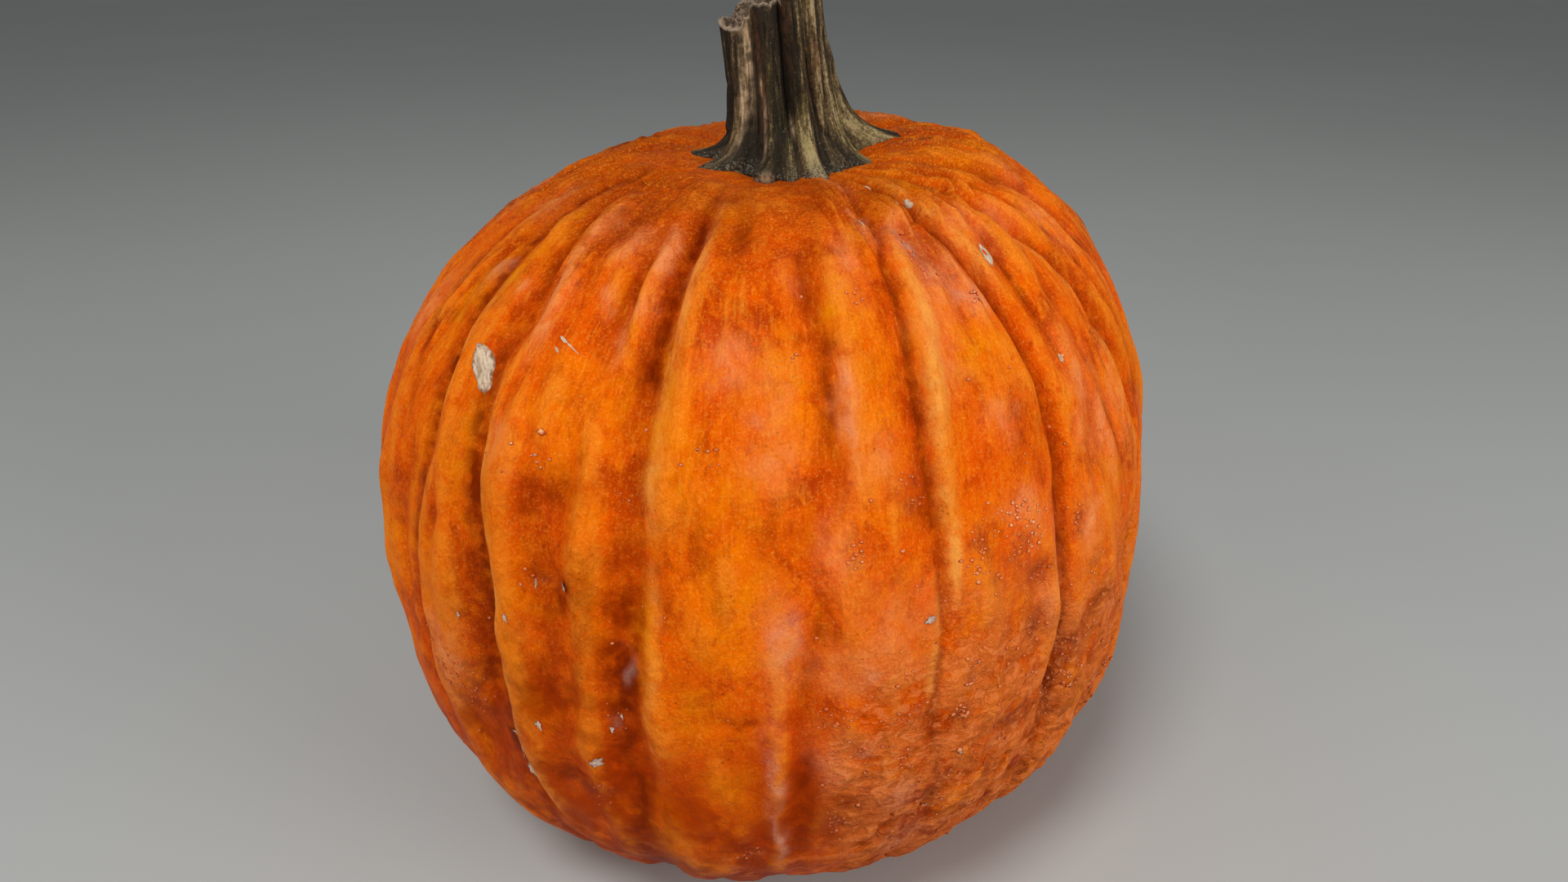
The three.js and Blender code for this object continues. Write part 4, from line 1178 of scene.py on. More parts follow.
middle, east, north, out = skin_frames(pimple_lon, pimple_lat)
size = pimple_radius[:, None] * MM
side = dome_reach * np.cos(spun) * uneven * size
rise = dome_reach * np.sin(spun) * uneven * oval * size
lift = np.broadcast_to(dome_lift, side.shape) * size * luck.uniform(0.7, 1.1, (count, 1))
pimple_points = (
    middle[:, None] + side[..., None] * east[:, None] + rise[..., None] * north[:, None]
    + lift[..., None] * out[:, None]
)
# Painted shade on the pimples, as on the rind round them: underneath, in dents and on crease walls.
clear = 1 - 0.85 * shaded_underside(pimple_lon, pimple_lat)
clear = clear * (1 - 0.8 * tone(pimple_lon, pimple_lat, RUSSET_AND_DENT_SHADE_PATCHES, 101))
pimple_shade = 1 - clear * (1 - 0.8 * crease_bands(pimple_lon, pimple_lat, CREASE_WALL_SHADES, 0.5, 41))
pimples = make_mesh(
    "pimples",
    pimple_points.reshape(-1, 3),
    repeated_faces(closed_faces(len(DOME_RINGS), DOME_COLUMNS), len(dome_reach), count),
    {
        "tip": np.tile(np.clip(dome_lift / DOME_TIP, 0, 1), count),
        "pale": np.repeat(np.clip(pimple_pale, 0, 1), len(dome_reach)),
        "pimple_shade": np.repeat(pimple_shade, len(dome_reach)),
    },
    {"meridian": np.repeat(
        meridian_place(pimple_lon, pimple_lat, SKIN_STRETCH) * MM, len(dome_reach), axis=0
    )},
)

PIMPLE_SHADE = (0.30, 0.030, 0.001)
PIMPLE_FOOT_SHADOW = (0.27, 0.040, 0.008)
PIMPLE_DRY_TIP_AND_HIGHLIGHT = (0.93, 0.46, 0.21)
PIMPLE_FLECK = (0.30, 0.060, 0.012)
pimple_skin, tree, surface, place = new_material("pimple_skin", 0.12)
skin = group_node(tree, skin_group, Place=place, Meridian=kept_place(tree, "meridian"))
tip = mask(tree, "tip")
fleck = noise(tree, place, 1800, 3.0, 0.6)
# Where painted shade darkens the pimples.
shaded = mask(tree, "pimple_shade")
dry = plus(tree, times(tree, mask(tree, "pale"), 0.80), 0.20)
dry = times(tree, dry, remap(tree, tip, 0.30, 0.80))
dry = times(tree, dry, minus(tree, 1.0, times(tree, shaded, 0.5)))
# Painted shade on the pimples.
colour = lay(tree, skin.outputs["Color"], shaded, 0.8, PIMPLE_SHADE)
# A painted shadow round each foot, and a painted highlight on the pale dry tip.
colour = blend_colour(tree, remap(tree, tip, 0.55, 0.0, 0.15, 0.72), colour, PIMPLE_FOOT_SHADOW)
colour = blend_colour(tree, dry, colour, PIMPLE_DRY_TIP_AND_HIGHLIGHT)
colour = blend_colour(tree, remap(tree, fleck, 0.52, 0.40, 0.0, 0.4), colour, PIMPLE_FLECK)
dress(tree, surface, colour, remap(tree, fleck, 0.3, 0.7, 0.30, 0.50), fleck, 0.4, 0.0002)
pimples.data.materials.append(pimple_skin)
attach(pimples, "root")

# --------------------------------------------------------------------------------------------------
# Corky scars: healed wounds in the skin, where a dry fissured cork has closed over them. Each is a low lens
# of cork set into the rind, with a rough top and a ragged edge.
# --------------------------------------------------------------------------------------------------

# Each scar: longitude, latitude, heading from north, half length, half width, lift, and how pitted it is.
SCARS = [
    (-42.3, 34.0, -39, 7.6, 3.3, 0.60, 0.30),
    (44.7, 44.8, 185, 3.7, 2.5, 0.40, 1.00),
    (38.4, 56.9, 150, 1.9, 1.15, 0.40, 0.05),
    (35.3, 57.6, 170, 0.9, 0.6, 0.30, 0.05),
    (32.8, 63.0, 158, 1.7, 0.7, 0.35, 0.05),
    (-28.2, 39.0, 122, 4.4, 0.22, 0.16, 0.10),
    (-29.5, 39.5, 120, 1.7, 0.50, 0.25, 0.20),
    (-29.8, 38.2, 127, 1.4, 0.40, 0.22, 0.20),
    (48.2, 29.8, 0, 1.5, 0.8, 0.30, 0.05),
    (22.0, 54.8, 180, 2.5, 0.5, 0.25, 0.20),
    (-27.5, 11.0, 172, 1.6, 0.30, 0.22, 0.30),
    (150, 34, 40, 5.2, 2.4, 0.45, 0.40),
    (-128, 8, 10, 4.0, 1.8, 0.40, 0.60),
    (205, -18, 75, 6.0, 1.2, 0.35, 0.30),
]
SCAR_COLUMNS = 56
SCAR_RINGS = 17
SCAR_ROOT = 0.5


def along_skin(lon, lat, heading, ahead, aside, level):
    """Points of a small shape laid on the skin at a place, with its length along a heading from north."""
    bearing = math.radians(heading)
    north = ahead * math.cos(bearing) - aside * math.sin(bearing)
    east = ahead * math.sin(bearing) + aside * math.cos(bearing)
    per_lon = np.linalg.norm(skin_point(lon + 0.5, lat) - skin_point(lon - 0.5, lat)) / MM
    per_lat = np.linalg.norm(skin_point(lon, lat + 0.5) - skin_point(lon, lat - 0.5)) / MM
    return skin_point(lon + east / per_lon, lat + north / per_lat, level)


def own_place(ahead, aside, k, step):
    """A place in millimetres along and across one of several small shapes, kept apart from the others'
    places."""
    return np.stack([ahead, aside, np.full(ahead.shape, step * k)], -1)


points, edge, pit, along_place = [], [], [], []
turns = np.linspace(0, 2 * math.pi, SCAR_COLUMNS, endpoint=False)
reach = np.concatenate([[0.5, 0.95], np.linspace(1.0, 0.05, SCAR_RINGS - 2)])
share = np.concatenate([[0.0], np.repeat(reach, SCAR_COLUMNS), [0.0]])
around = np.concatenate([[0.0], np.tile(turns, len(reach)), [0.0]])
sunk = np.arange(len(share)) < 1 + 2 * SCAR_COLUMNS

# Over a share of the way out from its middle, a scar's top is a flattened dome with a rough noise on it,
# inside an outline that is pointed along its length and ragged. Its foot is sunk in the skin.
for k, (lon, lat, heading, long, wide, lift, pitted) in enumerate(SCARS):
    ring = own_place(np.cos(around), np.sin(around), k, 3.7)
    ragged = 1 + 0.16 * soft_noise(ring, 0.55, 81 + k) + 0.10 * soft_noise(ring, 0.22, 91 + k)
    pointed = 1 - 0.5 * np.cos(around) ** 2
    ahead = long * share * ragged * np.cos(around)
    aside = wide * share * ragged * pointed * np.sin(around)
    spot = own_place(ahead, aside, k, 9.1)
    rough = 0.5 * soft_noise(spot / np.array([2.2, 1, 1]), 0.9, 83) + 0.3 * soft_noise(spot, 0.5, 84)
    hollow = pitted * np.exp(-(((ahead + 0.25 * long) / (0.35 * long)) ** 2) - (aside / (0.45 * wide)) ** 2)
    fissure = ((aside + 0.35 * wide) / (0.24 * wide)) ** 2 + ((ahead - 0.22 * long) / (0.42 * long)) ** 2
    cracked = hollow + 0.9 * np.exp(-fissure) * (1 - pitted) + 0.4 * smoothstep(0.0, -0.5, rough)
    dome = lift * (1 - share**4) + 0.5 * lift * rough * (share < 0.98) - 1.6 * lift * hollow
    level = np.where(sunk, -SCAR_ROOT, dome - 0.04)
    points.append(along_skin(lon, lat, heading, ahead, aside, level))
    edge.append(smoothstep(0.70, 0.98, share + 0.12 * rough))
    pit.append(np.clip(cracked, 0, 1))
    along_place.append(own_place(ahead / 5, aside, k, 9.1))
scars = make_mesh(
    "corky_scars",
    np.concatenate(points),
    repeated_faces(closed_faces(len(reach), SCAR_COLUMNS), len(share), len(SCARS)),
    {"edge": np.concatenate(edge), "pit": np.concatenate(pit)},
    {"along": np.concatenate(along_place) * MM},
)

# Cork: pale dry tissue, streaked along its length and freckled with grime, for scars and for flakes.
cork_group, given, taken = new_group(
    "cork_colour",
    [
        ("Place", "Vector", None),
        ("Along", "Vector", None),
        ("Pale", "Color", (0.62, 0.42, 0.24, 1.0)),
        ("Brown", "Color", (0.22, 0.09, 0.035, 1.0)),
    ],
    [("Color", "Color"), ("Height", "Float")],
)
crack = noise(cork_group, given.outputs["Along"], 1500, 4.0, 0.6)
freckle = noise(cork_group, given.outputs["Place"], 1300, 4.0, 0.6)
brown = given.outputs["Brown"]
cracked = remap(cork_group, crack, 0.52, 0.36, 0.0, 0.60)
freckled = remap(cork_group, freckle, 0.44, 0.32, 0.0, 0.40)
colour = blend_colour(cork_group, cracked, given.outputs["Pale"], brown)
colour = blend_colour(cork_group, freckled, colour, brown)
cork_group.links.new(colour, taken.inputs["Color"])
cork_group.links.new(plus(cork_group, crack, times(cork_group, freckle, 0.5)), taken.inputs["Height"])


def cork_material(name, pale, brown, rim):
    """A dry cork with its own pale and brown tones, browned in its pits, and darker along its rim: a browned
    rim on the scars and a painted shadow on the flakes.
    """
    made, tree, surface, place = new_material(name, 0.2)
    cork = group_node(tree, cork_group, Place=place, Along=kept_place(tree, "along"), Pale=pale, Brown=brown)
    colour = lay(tree, cork.outputs["Color"], mottled(tree, place, "edge", 900.0, 0.7), 0.8, rim)
    colour = lay(tree, colour, mask(tree, "pit"), 0.75, brown)
    rough = remap(tree, cork.outputs["Height"], 0.4, 1.0, 0.85, 0.65)
    dress(tree, surface, colour, rough, cork.outputs["Height"], 0.7, 0.0003)
    return made


dry_cork = cork_material("dry_cork", (0.84, 0.66, 0.46), (0.24, 0.115, 0.055), (0.22, 0.075, 0.030))
scars.data.materials.append(dry_cork)
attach(scars, "root")

# --------------------------------------------------------------------------------------------------
# Flakes: scraps of the skin's dry outer film that have lifted and still cling to it. Each is thin,
# grey-white and curled up at its free end.
# --------------------------------------------------------------------------------------------------

# Each flake: longitude, latitude, heading, half length, half width, how far its free end curls up, its seed.
FLAKES = [
    (-23.2, 11.8, 76, 2.6, 1.7, 0.9, 1),
    (-30.8, 6.2, 141, 1.4, 0.8, 0.7, 2),
    (-28.2, -8.0, 147, 1.6, 1.0, 0.8, 3),
    (-21.2, -11.5, 53, 2.8, 1.8, 1.0, 4),
    (-33.2, -15.5, 171, 3.4, 0.7, 0.7, 5),
    (-33.5, -19.5, 153, 2.5, 1.2, 1.0, 6),
    (-34.0, -13.0, 104, 1.2, 0.6, 0.5, 7),
    (-19.2, -7.0, 165, 1.1, 0.6, 0.5, 8),
    (19.0, 6.8, 60, 1.8, 1.2, 0.8, 9),
    (-18.0, -5.2, 160, 0.9, 0.4, 0.4, 10),
    (-28.0, 26.2, 80, 0.7, 0.4, 0.3, 11),
    (23.6, -12.8, 0, 0.9, 0.5, 0.5, 12),
    (-40.0, 2.5, 172, 1.2, 0.5, 0.5, 13),
    (20.0, -21.5, 10, 1.0, 0.5, 0.5, 14),
    (130, 0, 30, 2.0, 1.1, 0.9, 16),
    (168, 25, 70, 1.6, 1.0, 0.8, 17),
    (-165, -10, 15, 2.2, 0.9, 0.9, 18),
    (-120, 30, 50, 1.5, 0.8, 0.7, 19),
    (100, -22, 80, 1.8, 1.0, 0.8, 20),
    (72, -19, 35, 1.8, 1.0, 0.8, 21),
]
FLAKE_COLUMNS = 22
FLAKE_RINGS = 5
FILM = 0.10

points, edge, along_place = [], [], []
turns = np.linspace(0, 2 * math.pi, FLAKE_COLUMNS, endpoint=False)
out_shares = np.linspace(0, 1, FLAKE_RINGS + 1)[1:]
reach = np.concatenate([out_shares, out_shares[::-1]])
share = np.concatenate([[0.0], np.repeat(reach, FLAKE_COLUMNS), [0.0]])
upper = (np.arange(len(share)) > FLAKE_RINGS * FLAKE_COLUMNS).astype(float)
around = np.concatenate([[0.0], np.tile(turns, len(reach)), [0.0]])

# Each is a thin film near the skin: an angular outline, a free end that curls up by the square of the way
# along, and the film's own thickness between an upper and a lower face that meet at the edge.
for k, (lon, lat, heading, long, wide, curl, seed) in enumerate(FLAKES):
    luck = np.random.default_rng(900 + seed)
    corners = np.sort(luck.uniform(0, 2 * math.pi, 6))
    outline = 0.78 + 0.22 * np.cos(3 * turns + luck.uniform(0, 6)) * luck.uniform(0.3, 1.0)
    outline *= 1 + 0.22 * np.cos(5 * turns + corners[0]) + 0.10 * np.cos(9 * turns + corners[1])
    cut = np.concatenate([[1.0], np.tile(outline, len(reach)), [1.0]])
    ahead = long * share * cut * np.cos(around)
    aside = wide * share * cut * np.sin(around)
    crumple = 0.18 * soft_noise(own_place(ahead, aside, k, 5.3), 0.8, 88)
    hang = 0.10 + curl * np.clip(0.5 + 0.5 * ahead / long, 0, 1) ** 2 + crumple
    level = np.maximum(hang, 0.0) + FILM * upper * (share < 0.99) + 0.5 * FILM * (share > 0.99)
    points.append(along_skin(lon, lat, heading, ahead, aside, level))
    # Where the painted shadow along the flake's edge lies.
    edge.append(0.6 * smoothstep(0.5, 1.0, share))
    along_place.append(own_place(ahead / 2, aside, k, 5.3))
flakes = make_mesh(
    "skin_flakes",
    np.concatenate(points),
    repeated_faces(closed_faces(len(reach), FLAKE_COLUMNS), len(share), len(FLAKES)),
    {"edge": np.concatenate(edge), "pit": np.zeros(len(share) * len(FLAKES))},
    {"along": np.concatenate(along_place) * MM},
)
# The flakes' rim colour is a painted shadow along their edge.
dry_film = cork_material("dry_film", (0.66, 0.47, 0.38), (0.30, 0.17, 0.12), (0.30, 0.17, 0.12))
flakes.data.materials.append(dry_film)
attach(flakes, "root")

# --------------------------------------------------------------------------------------------------
# The stem: the dry woody stalk that the fruit was cut from the vine with, ribbed and fluted, with toes that
# run out over the crown. The left half of its end broke off low on a splintered edge, and the rest ends in a
# rough cut.
# --------------------------------------------------------------------------------------------------

STEM_FOOT = (2.8, 5.5, 212.2)
STEM_LEAN = (-0.14, 0.03)
TRUNK_RADIUS = 12.2
STEM_TWIST = 0.2
FLUTES = 17
FLUTE_HEIGHT = 0.55
STEM_ROOT = 10
STEM_GIRTH = 14

# Each rib: longitude, half width, ridge, reach of its toe, height of the toe's tip, fall.
STEM_RIBS = [
    (-146, 15, 2.2, 32, 6.2, 3.6),
    (-95, 11, 2.4, 36, 4.6, 3.0),
    (-56, 15, 2.2, 33, 4.6, 4.2),
    (-19, 14, 2.0, 30, 5.4, 4.2),
    (-3, 11, 0.0, 27.5, 4.2, 2.6),
    (15, 14, 3.0, 30, 4.0, 5.5),
    (57, 17, 2.4, 27, 5.6, 5.5),
    (117, 12, 3.4, 42.5, 7.2, 6.5),
    (170, 15, 2.2, 33, 7.2, 3.8),
]
TOE_POWER = 1.35
TOE_SQUARE = 2.6
APRON = 10.5
CREVICE_LON = 2
CREVICE_DEPTH = 4.4
CREVICE_WIDTH = 4.5
CREVICE_FOOT = (9, 21)
BREAK_FACING = -71
BREAK_OFFSET = 0.5
BREAK_TOP = 61.6
CUT_LEVEL = 61.2
CUT_SLOPES = (0.225, 0.12)
END_SINK = 1.4
SECTION_LEVEL = 48.0
LOW_HALF_ALONG = (-22, -12, -9, -3, -1, 4, 7, 22)
LOW_HALF_TOP = (41.5, 43, 46.5, 47.5, 45, 47.5, 46.5, 47)
LOW_FRONT_SIDE = (-15, -10.0, -8.9, -8.4, -6.2, -5.0, 4.0)
LOW_FRONT_TOP = (41.4, 41.8, 42.6, 44.4, 44.6, 48.3, 48.8)

STEM_COLUMNS = 400
STEM_WALL_ROWS = 188
STEM_END_RINGS = 36


def flare_left(height, tip, fall):
    """What is left of a flare above its tip: 1 there, falling by a power law up the trunk."""
    return (1 + np.maximum(height - tip, 0) / fall) ** -TOE_POWER


def stem_places(lon, height, stretch):
    """A place for patterns that run up the stem: round a cylinder, with the way up shortened."""
    around = np.radians(lon)
    return np.stack([np.sin(around) * STEM_GIRTH, np.cos(around) * STEM_GIRTH, height / stretch], -1)


def flute_wave(lon):
    """The shallow flutes round the stem, from -1 to 1: an even wave, bunched three times round."""
    return np.cos(np.radians(FLUTES * lon + 70 * np.sin(np.radians(3 * lon))))


def stem_radius(lon, height):
    """The trunk, with the highest rib or toe at each longitude, less the crevice, plus flutes."""
    ridge = np.zeros(lon.shape)
    toe = APRON * flare_left(height, 3.5, 4.5)
    for rib_lon, wide, rise, reach, tip, fall in STEM_RIBS:
        share = np.exp(-(np.abs(turn(lon, rib_lon) / wide) ** TOE_SQUARE))
        ridge = np.maximum(ridge, rise * share)
        toe = np.maximum(toe, (reach - TRUNK_RADIUS - rise) * share * flare_left(height, tip, fall))
    crevice = CREVICE_DEPTH * crease_section(turn(lon, CREVICE_LON), CREVICE_WIDTH, 1.0)
    crevice = crevice * smoothstep(*CREVICE_FOOT, height)
    return TRUNK_RADIUS + ridge + toe - crevice + FLUTE_HEIGHT * flute_wave(lon)


# Slabs of bark that stand proud or have peeled away: longitude, half width, from and to height, step.
BARK_SLABS = [
    (-92, 7, 12, 60, 0.8),
    (-76, 5, 14, 60, -0.3),
    (-62, 5, 6, 60, 0.6),
    (-46, 6, 14, 60, -0.8),
    (-27, 8, 10, 60, 0.8),
    (-13, 4, 14, 60, -0.8),
    (-6, 4, 8, 60, 0.8),
    (14, 4, 26, 60, 0.6),
    (30, 4, 18, 60, -0.5),
    (44, 5, 22, 60, 0.6),
    (68, 5, 24, 60, -0.6),
    (130, 9, 20, 60, -0.8),
    (-160, 8, 16, 60, 0.8),
    (-120, 7, 14, 48, -0.8),
]


def bark_grain(lon, height):
    """The bark's long strands, coarse and fine, from -1 to 1, and the cracks between them, where each passes
    0."""
    sway = 3.0 * soft_noise(stem_places(lon, height, 9), 9, 61)
    coarse = soft_noise(stem_places(lon + sway, height, 15), 2.9, 62)
    fine = soft_noise(stem_places(lon + sway, height, 11), 1.35, 63)
    crack = np.exp(-np.abs(coarse + 0.4 * fine) / 0.085)
    slit = np.exp(-np.abs(fine - 0.3 * coarse) / 0.11)
    return coarse, fine, crack, slit


def bark_relief(lon, height):
    """Strands, the cracks between them, lumps, and slabs of bark on the stem's side, in millimetres."""
    coarse, fine, crack, slit = bark_grain(lon, height)
    relief = 0.50 * coarse + 0.25 * fine - 0.85 * crack - 0.40 * slit
    relief += 0.30 * soft_noise(stem_places(lon, height, 2), 3.2, 64)
    for at_lon, half, low, high, step in BARK_SLABS:
        edge = half * (1 + 0.35 * soft_noise(stem_places(lon, height, 3), 2.4, 65))
        inside = smoothstep(edge + 1.2, edge - 1.2, np.abs(turn(lon, at_lon)))
        inside = inside * smoothstep(low - 1.5, low + 1.5, height)
        relief += step * inside * smoothstep(high + 1.2, high - 1.2, height)
    return relief * smoothstep(-8, 0, height)


def break_height(side, front):
    """Height of the broken end over a place in the stem's section: the low half's stepped edge on the side
    that faces the break, a steep torn face, and the slanting cut of the taller half, all bristling with
    splinters."""
    facing = math.radians(BREAK_FACING)
    outward = side * math.sin(facing) - front * math.cos(facing)
    along = side * math.cos(facing) + front * math.sin(facing)
    low = np.interp(-along, LOW_HALF_ALONG, LOW_HALF_TOP) - 4.2 * smoothstep(-9.5, -12.5, side)
    low = low + (np.interp(side, LOW_FRONT_SIDE, LOW_FRONT_TOP) - low) * smoothstep(0, -4, front)
    tall = CUT_LEVEL - CUT_SLOPES[0] * (side + 4) - CUT_SLOPES[1] * front
    here = np.stack([side, front, np.zeros(side.shape)], -1)
    ragged = outward + 1.1 * soft_noise(here, 2.4, 71) + 0.6 * soft_noise(here, 1.0, 72)
    is_low = smoothstep(BREAK_OFFSET - 0.45, BREAK_OFFSET + 0.45, ragged)
    splinters = 0.7 * soft_noise(here, 1.9, 73) + 0.4 * soft_noise(here, 0.8, 74)
    splinters = splinters + 2.2 * np.clip(soft_noise(here, 1.1, 76) - 0.62, 0, 1)
    return low + (tall - low) * (1 - is_low) + splinters


def stem_point(lon, height, share):
    """A point of the stem: out from its leaning middle line by a share of the radius, along a twisted
    longitude."""
    radius = share * (stem_radius(lon, height) + bark_relief(lon, height))
    turned = np.radians(lon + STEM_TWIST * np.maximum(height, 0))
    return np.stack([
        STEM_FOOT[0] + STEM_LEAN[0] * height + radius * np.sin(turned),
        STEM_FOOT[1] + STEM_LEAN[1] * height - radius * np.cos(turned),
        STEM_FOOT[2] + height,
    ], -1) * MM


def section_place(lon, share):
    """Where a longitude and a share of the radius fall in the stem's section at the height of the break."""
    radius = share * stem_radius(lon, np.full(lon.shape, SECTION_LEVEL))
    turned = np.radians(lon + STEM_TWIST * SECTION_LEVEL)
    return radius * np.sin(turned), -radius * np.cos(turned)


# Patches of the bark: longitude, height, half width, half height, strength.
BARK_TONES = [
    (16, 8, 9, 12, 0.45), (66, 16, 8, 13, 0.40), (112, 8, 18, 11, 0.38), (30, 50, 14, 16, 0.35),
    (-90, 28, 16, 26, -0.70), (-30, 10, 26, 9, -0.35), (-22, 32, 18, 22, -0.70), (-100, 5, 8, 4, 0.40),
    (-70, 8, 24, 9, -0.30),
]
PEELED = [
    (-46, 36, 5, 13, 1.0), (-52, 21, 3, 9, 0.9), (-25, 18, 2.6, 4, 0.9), (-28, 27, 2.4, 3, 0.8),
    (-23, 10, 2.2, 2.4, 0.7), (3, 16, 1.6, 2.6, 0.9), (-17, 3.5, 4, 1.6, 0.9),
]
RUSTED = [
    (-28, 30, 7, 16, 1.0), (40, 34, 8, 14, 0.6), (6, 44, 4, 14, 0.5), (8, 3, 4, 5, 0.6),
    (-62, 20, 5, 14, 0.5),
]
MOSSY = [(80, 13, 24, 12, 1.2), (-14, 16, 14, 14, 0.8), (14, 22, 8, 14, 0.6), (-20, 36, 6, 10, 0.5)]


def patches(lon, height, places):
    """The sum of soft oval patches, each times its strength."""
    return sum(at[4] * patch(lon, height, at) for at in places)


stem_lons = np.linspace(-180, 180, STEM_COLUMNS, endpoint=False)
wall_share = np.linspace(0, 1, STEM_WALL_ROWS)[:, None] ** 1.35
rim = np.minimum(break_height(*section_place(stem_lons, 1.0)), BREAK_TOP)
wall_height = -STEM_ROOT + (rim + STEM_ROOT) * (0.35 * wall_share + 0.65 * wall_share**1.4)
end_share = np.linspace(1, 0, STEM_END_RINGS + 2)[1:-1][:, None] ** 0.8
end_side, end_front = section_place(np.broadcast_to(stem_lons, (STEM_END_RINGS, STEM_COLUMNS)), end_share)
end_height = break_height(end_side, end_front) - END_SINK * (1 - smoothstep(0.84, 0.95, end_share))
end_height = np.minimum(end_height, BREAK_TOP)
ring_height = np.concatenate([wall_height, end_height])
ring_share = np.concatenate([np.ones(wall_height.shape), np.broadcast_to(end_share, end_height.shape)])
ring_lon = np.broadcast_to(stem_lons, ring_height.shape)
middle_height = min(float(break_height(np.array(0.0), np.array(0.0))) - END_SINK, BREAK_TOP)
all_lon = np.concatenate([[0], ring_lon.ravel(), [0]])
all_height = np.concatenate([[-STEM_ROOT], ring_height.ravel(), [middle_height]])
all_share = np.concatenate([[0], ring_share.ravel(), [0]])
on_wall = all_share > 0.999
below_rim = np.concatenate([[99], (rim - wall_height).ravel(), np.zeros(end_height.size), [0]])
rib_crest = np.zeros(all_lon.shape)
for rib in STEM_RIBS:
    rib_crest = np.maximum(rib_crest, np.exp(-((turn(all_lon, rib[0]) / (0.55 * rib[1])) ** 2)))
coarse, fine, crack, slit = bark_grain(all_lon, all_height)
flute = flute_wave(all_lon)
paler_side = smoothstep(4, 40, turn(all_lon, 0)) * smoothstep(170, 130, turn(all_lon, 0))
# Painted shade in the crevice.
crevice_shade = np.exp(-((turn(all_lon, CREVICE_LON) / 5.5) ** 2))
crevice_shade = crevice_shade * smoothstep(CREVICE_FOOT[0], CREVICE_FOOT[1] + 8, all_height)

# How pale or dark the bark is, from -1 to 1: pale on crests and over longitudes 40 to 130, dark in cracks
# and low down between the ribs, with painted shade in the crevice.
bark_shade = (
    0.40 * coarse + 0.36 * fine + 0.20 * flute - 0.95 * crack - 0.60 * slit - 2.8 * crevice_shade
    + 0.32 * paler_side + 0.45 * (rib_crest - 0.35) * smoothstep(30, 8, all_height)
    - 0.30 * smoothstep(22, 6, all_height) * (1 - rib_crest) + patches(all_lon, all_height, BARK_TONES)
)
stalk = make_mesh(
    "stalk",
    stem_point(all_lon, all_height, all_share),
    closed_faces(STEM_WALL_ROWS + STEM_END_RINGS, STEM_COLUMNS),
    {
        "shade": np.where(on_wall, bark_shade, 0.2 * fine),
        "end": (~on_wall).astype(float),
        "torn": smoothstep(0.88, 0.96, all_share) * smoothstep(0.8, 0.2, below_rim),
        "peel": patches(all_lon, all_height, PEELED),
        "rust": patches(all_lon, all_height, RUSTED),
        "moss": patches(all_lon, all_height, MOSSY),
        "collar": smoothstep(7.5, 3.0, all_height - 1.5 * fine),
    },
    {"fibre": stem_places(all_lon, all_height, 14) * MM},
)

# Bark colour: dry bark in long strands, from black cracks through brown to bleached fibre, by its shade.
bark_group, given, taken = new_group(
    "bark_colour",
    [("Place", "Vector", None), ("Fibre", "Vector", None), ("Shade", "Float", 0.0)],
    [("Color", "Color"), ("Height", "Float")],
)
strand = noise(bark_group, given.outputs["Fibre"], 760, 4.0, 0.6, 0.4)
thread = noise(bark_group, given.outputs["Fibre"], 2300, 3.0, 0.6)
fibres = plus(bark_group, times(bark_group, strand, 0.5), times(bark_group, thread, 0.5))
crumb = noise(bark_group, given.outputs["Place"], 1150, 4.0, 0.7)
shade = plus(bark_group, fibres, times(bark_group, given.outputs["Shade"], 0.15))
shade = plus(bark_group, shade, times(bark_group, minus(bark_group, crumb, 0.52), 0.40))
BARK_STEPS = [
    (0.39, 0.46, (0.040, 0.025, 0.011)),
    (0.46, 0.53, (0.078, 0.048, 0.019)),
    (0.53, 0.60, (0.180, 0.120, 0.050)),
    (0.60, 0.70, (0.420, 0.310, 0.155)),
]
colour = (0.018, 0.012, 0.006)
for low, high, paint in BARK_STEPS:
    colour = blend_colour(bark_group, remap(bark_group, shade, low, high), colour, paint)
bark_group.links.new(colour, taken.inputs["Color"])
bark_group.links.new(fibres, taken.inputs["Height"])

MOSS_GREEN = (0.66, 0.78, 0.36)
RUST_BROWN = (0.20, 0.075, 0.024)
BARE_WOOD = ((0.36, 0.235, 0.125), (0.74, 0.53, 0.31))
COLLAR_CRUMBS = ((0.016, 0.013, 0.008), (0.30, 0.25, 0.17))
PITH = ((0.055, 0.034, 0.020), (0.30, 0.20, 0.125))
TORN_FIBRE = (0.42, 0.31, 0.21)
DUST_GREY = (0.34, 0.29, 0.20)
dry_bark, tree, surface, place = new_material("dry_bark", 0.22)
bark = group_node(tree, bark_group, Place=place, Fibre=kept_place(tree, "fibre"), Shade=mask(tree, "shade"))
dust = noise(tree, place, 1300, 4.0, 0.65)
mossy = times(tree, mottled(tree, place, "moss", 380.0, 0.8), 0.85, clamp=True)
bare_wood = blend_colour(tree, remap(tree, bark.outputs["Height"], 0.44, 0.58), *BARE_WOOD)
speckled = blend_colour(tree, remap(tree, dust, 0.46, 0.62), *COLLAR_CRUMBS)
pith = blend_colour(tree, remap(tree, dust, 0.40, 0.62), *PITH)
colour = blend_colour(tree, mossy, bark.outputs["Color"], MOSS_GREEN, "MULTIPLY")
colour = lay(tree, colour, mottled(tree, place, "rust", 340.0, 0.9), 0.38, RUST_BROWN, clamp=True)
colour = lay(tree, colour, mottled(tree, place, "peel", 330.0, 0.7), 0.9, bare_wood, clamp=True)
colour = lay(tree, colour, mottled(tree, place, "collar", 700.0, 0.9), 0.7, speckled, clamp=True)
colour = blend_colour(tree, mask(tree, "end"), colour, pith)
colour = lay(tree, colour, mottled(tree, place, "torn", 800.0, 0.6), 0.9, TORN_FIBRE, clamp=True)
colour = blend_colour(tree, remap(tree, dust, 0.60, 0.72, 0.0, 0.30), colour, DUST_GREY)
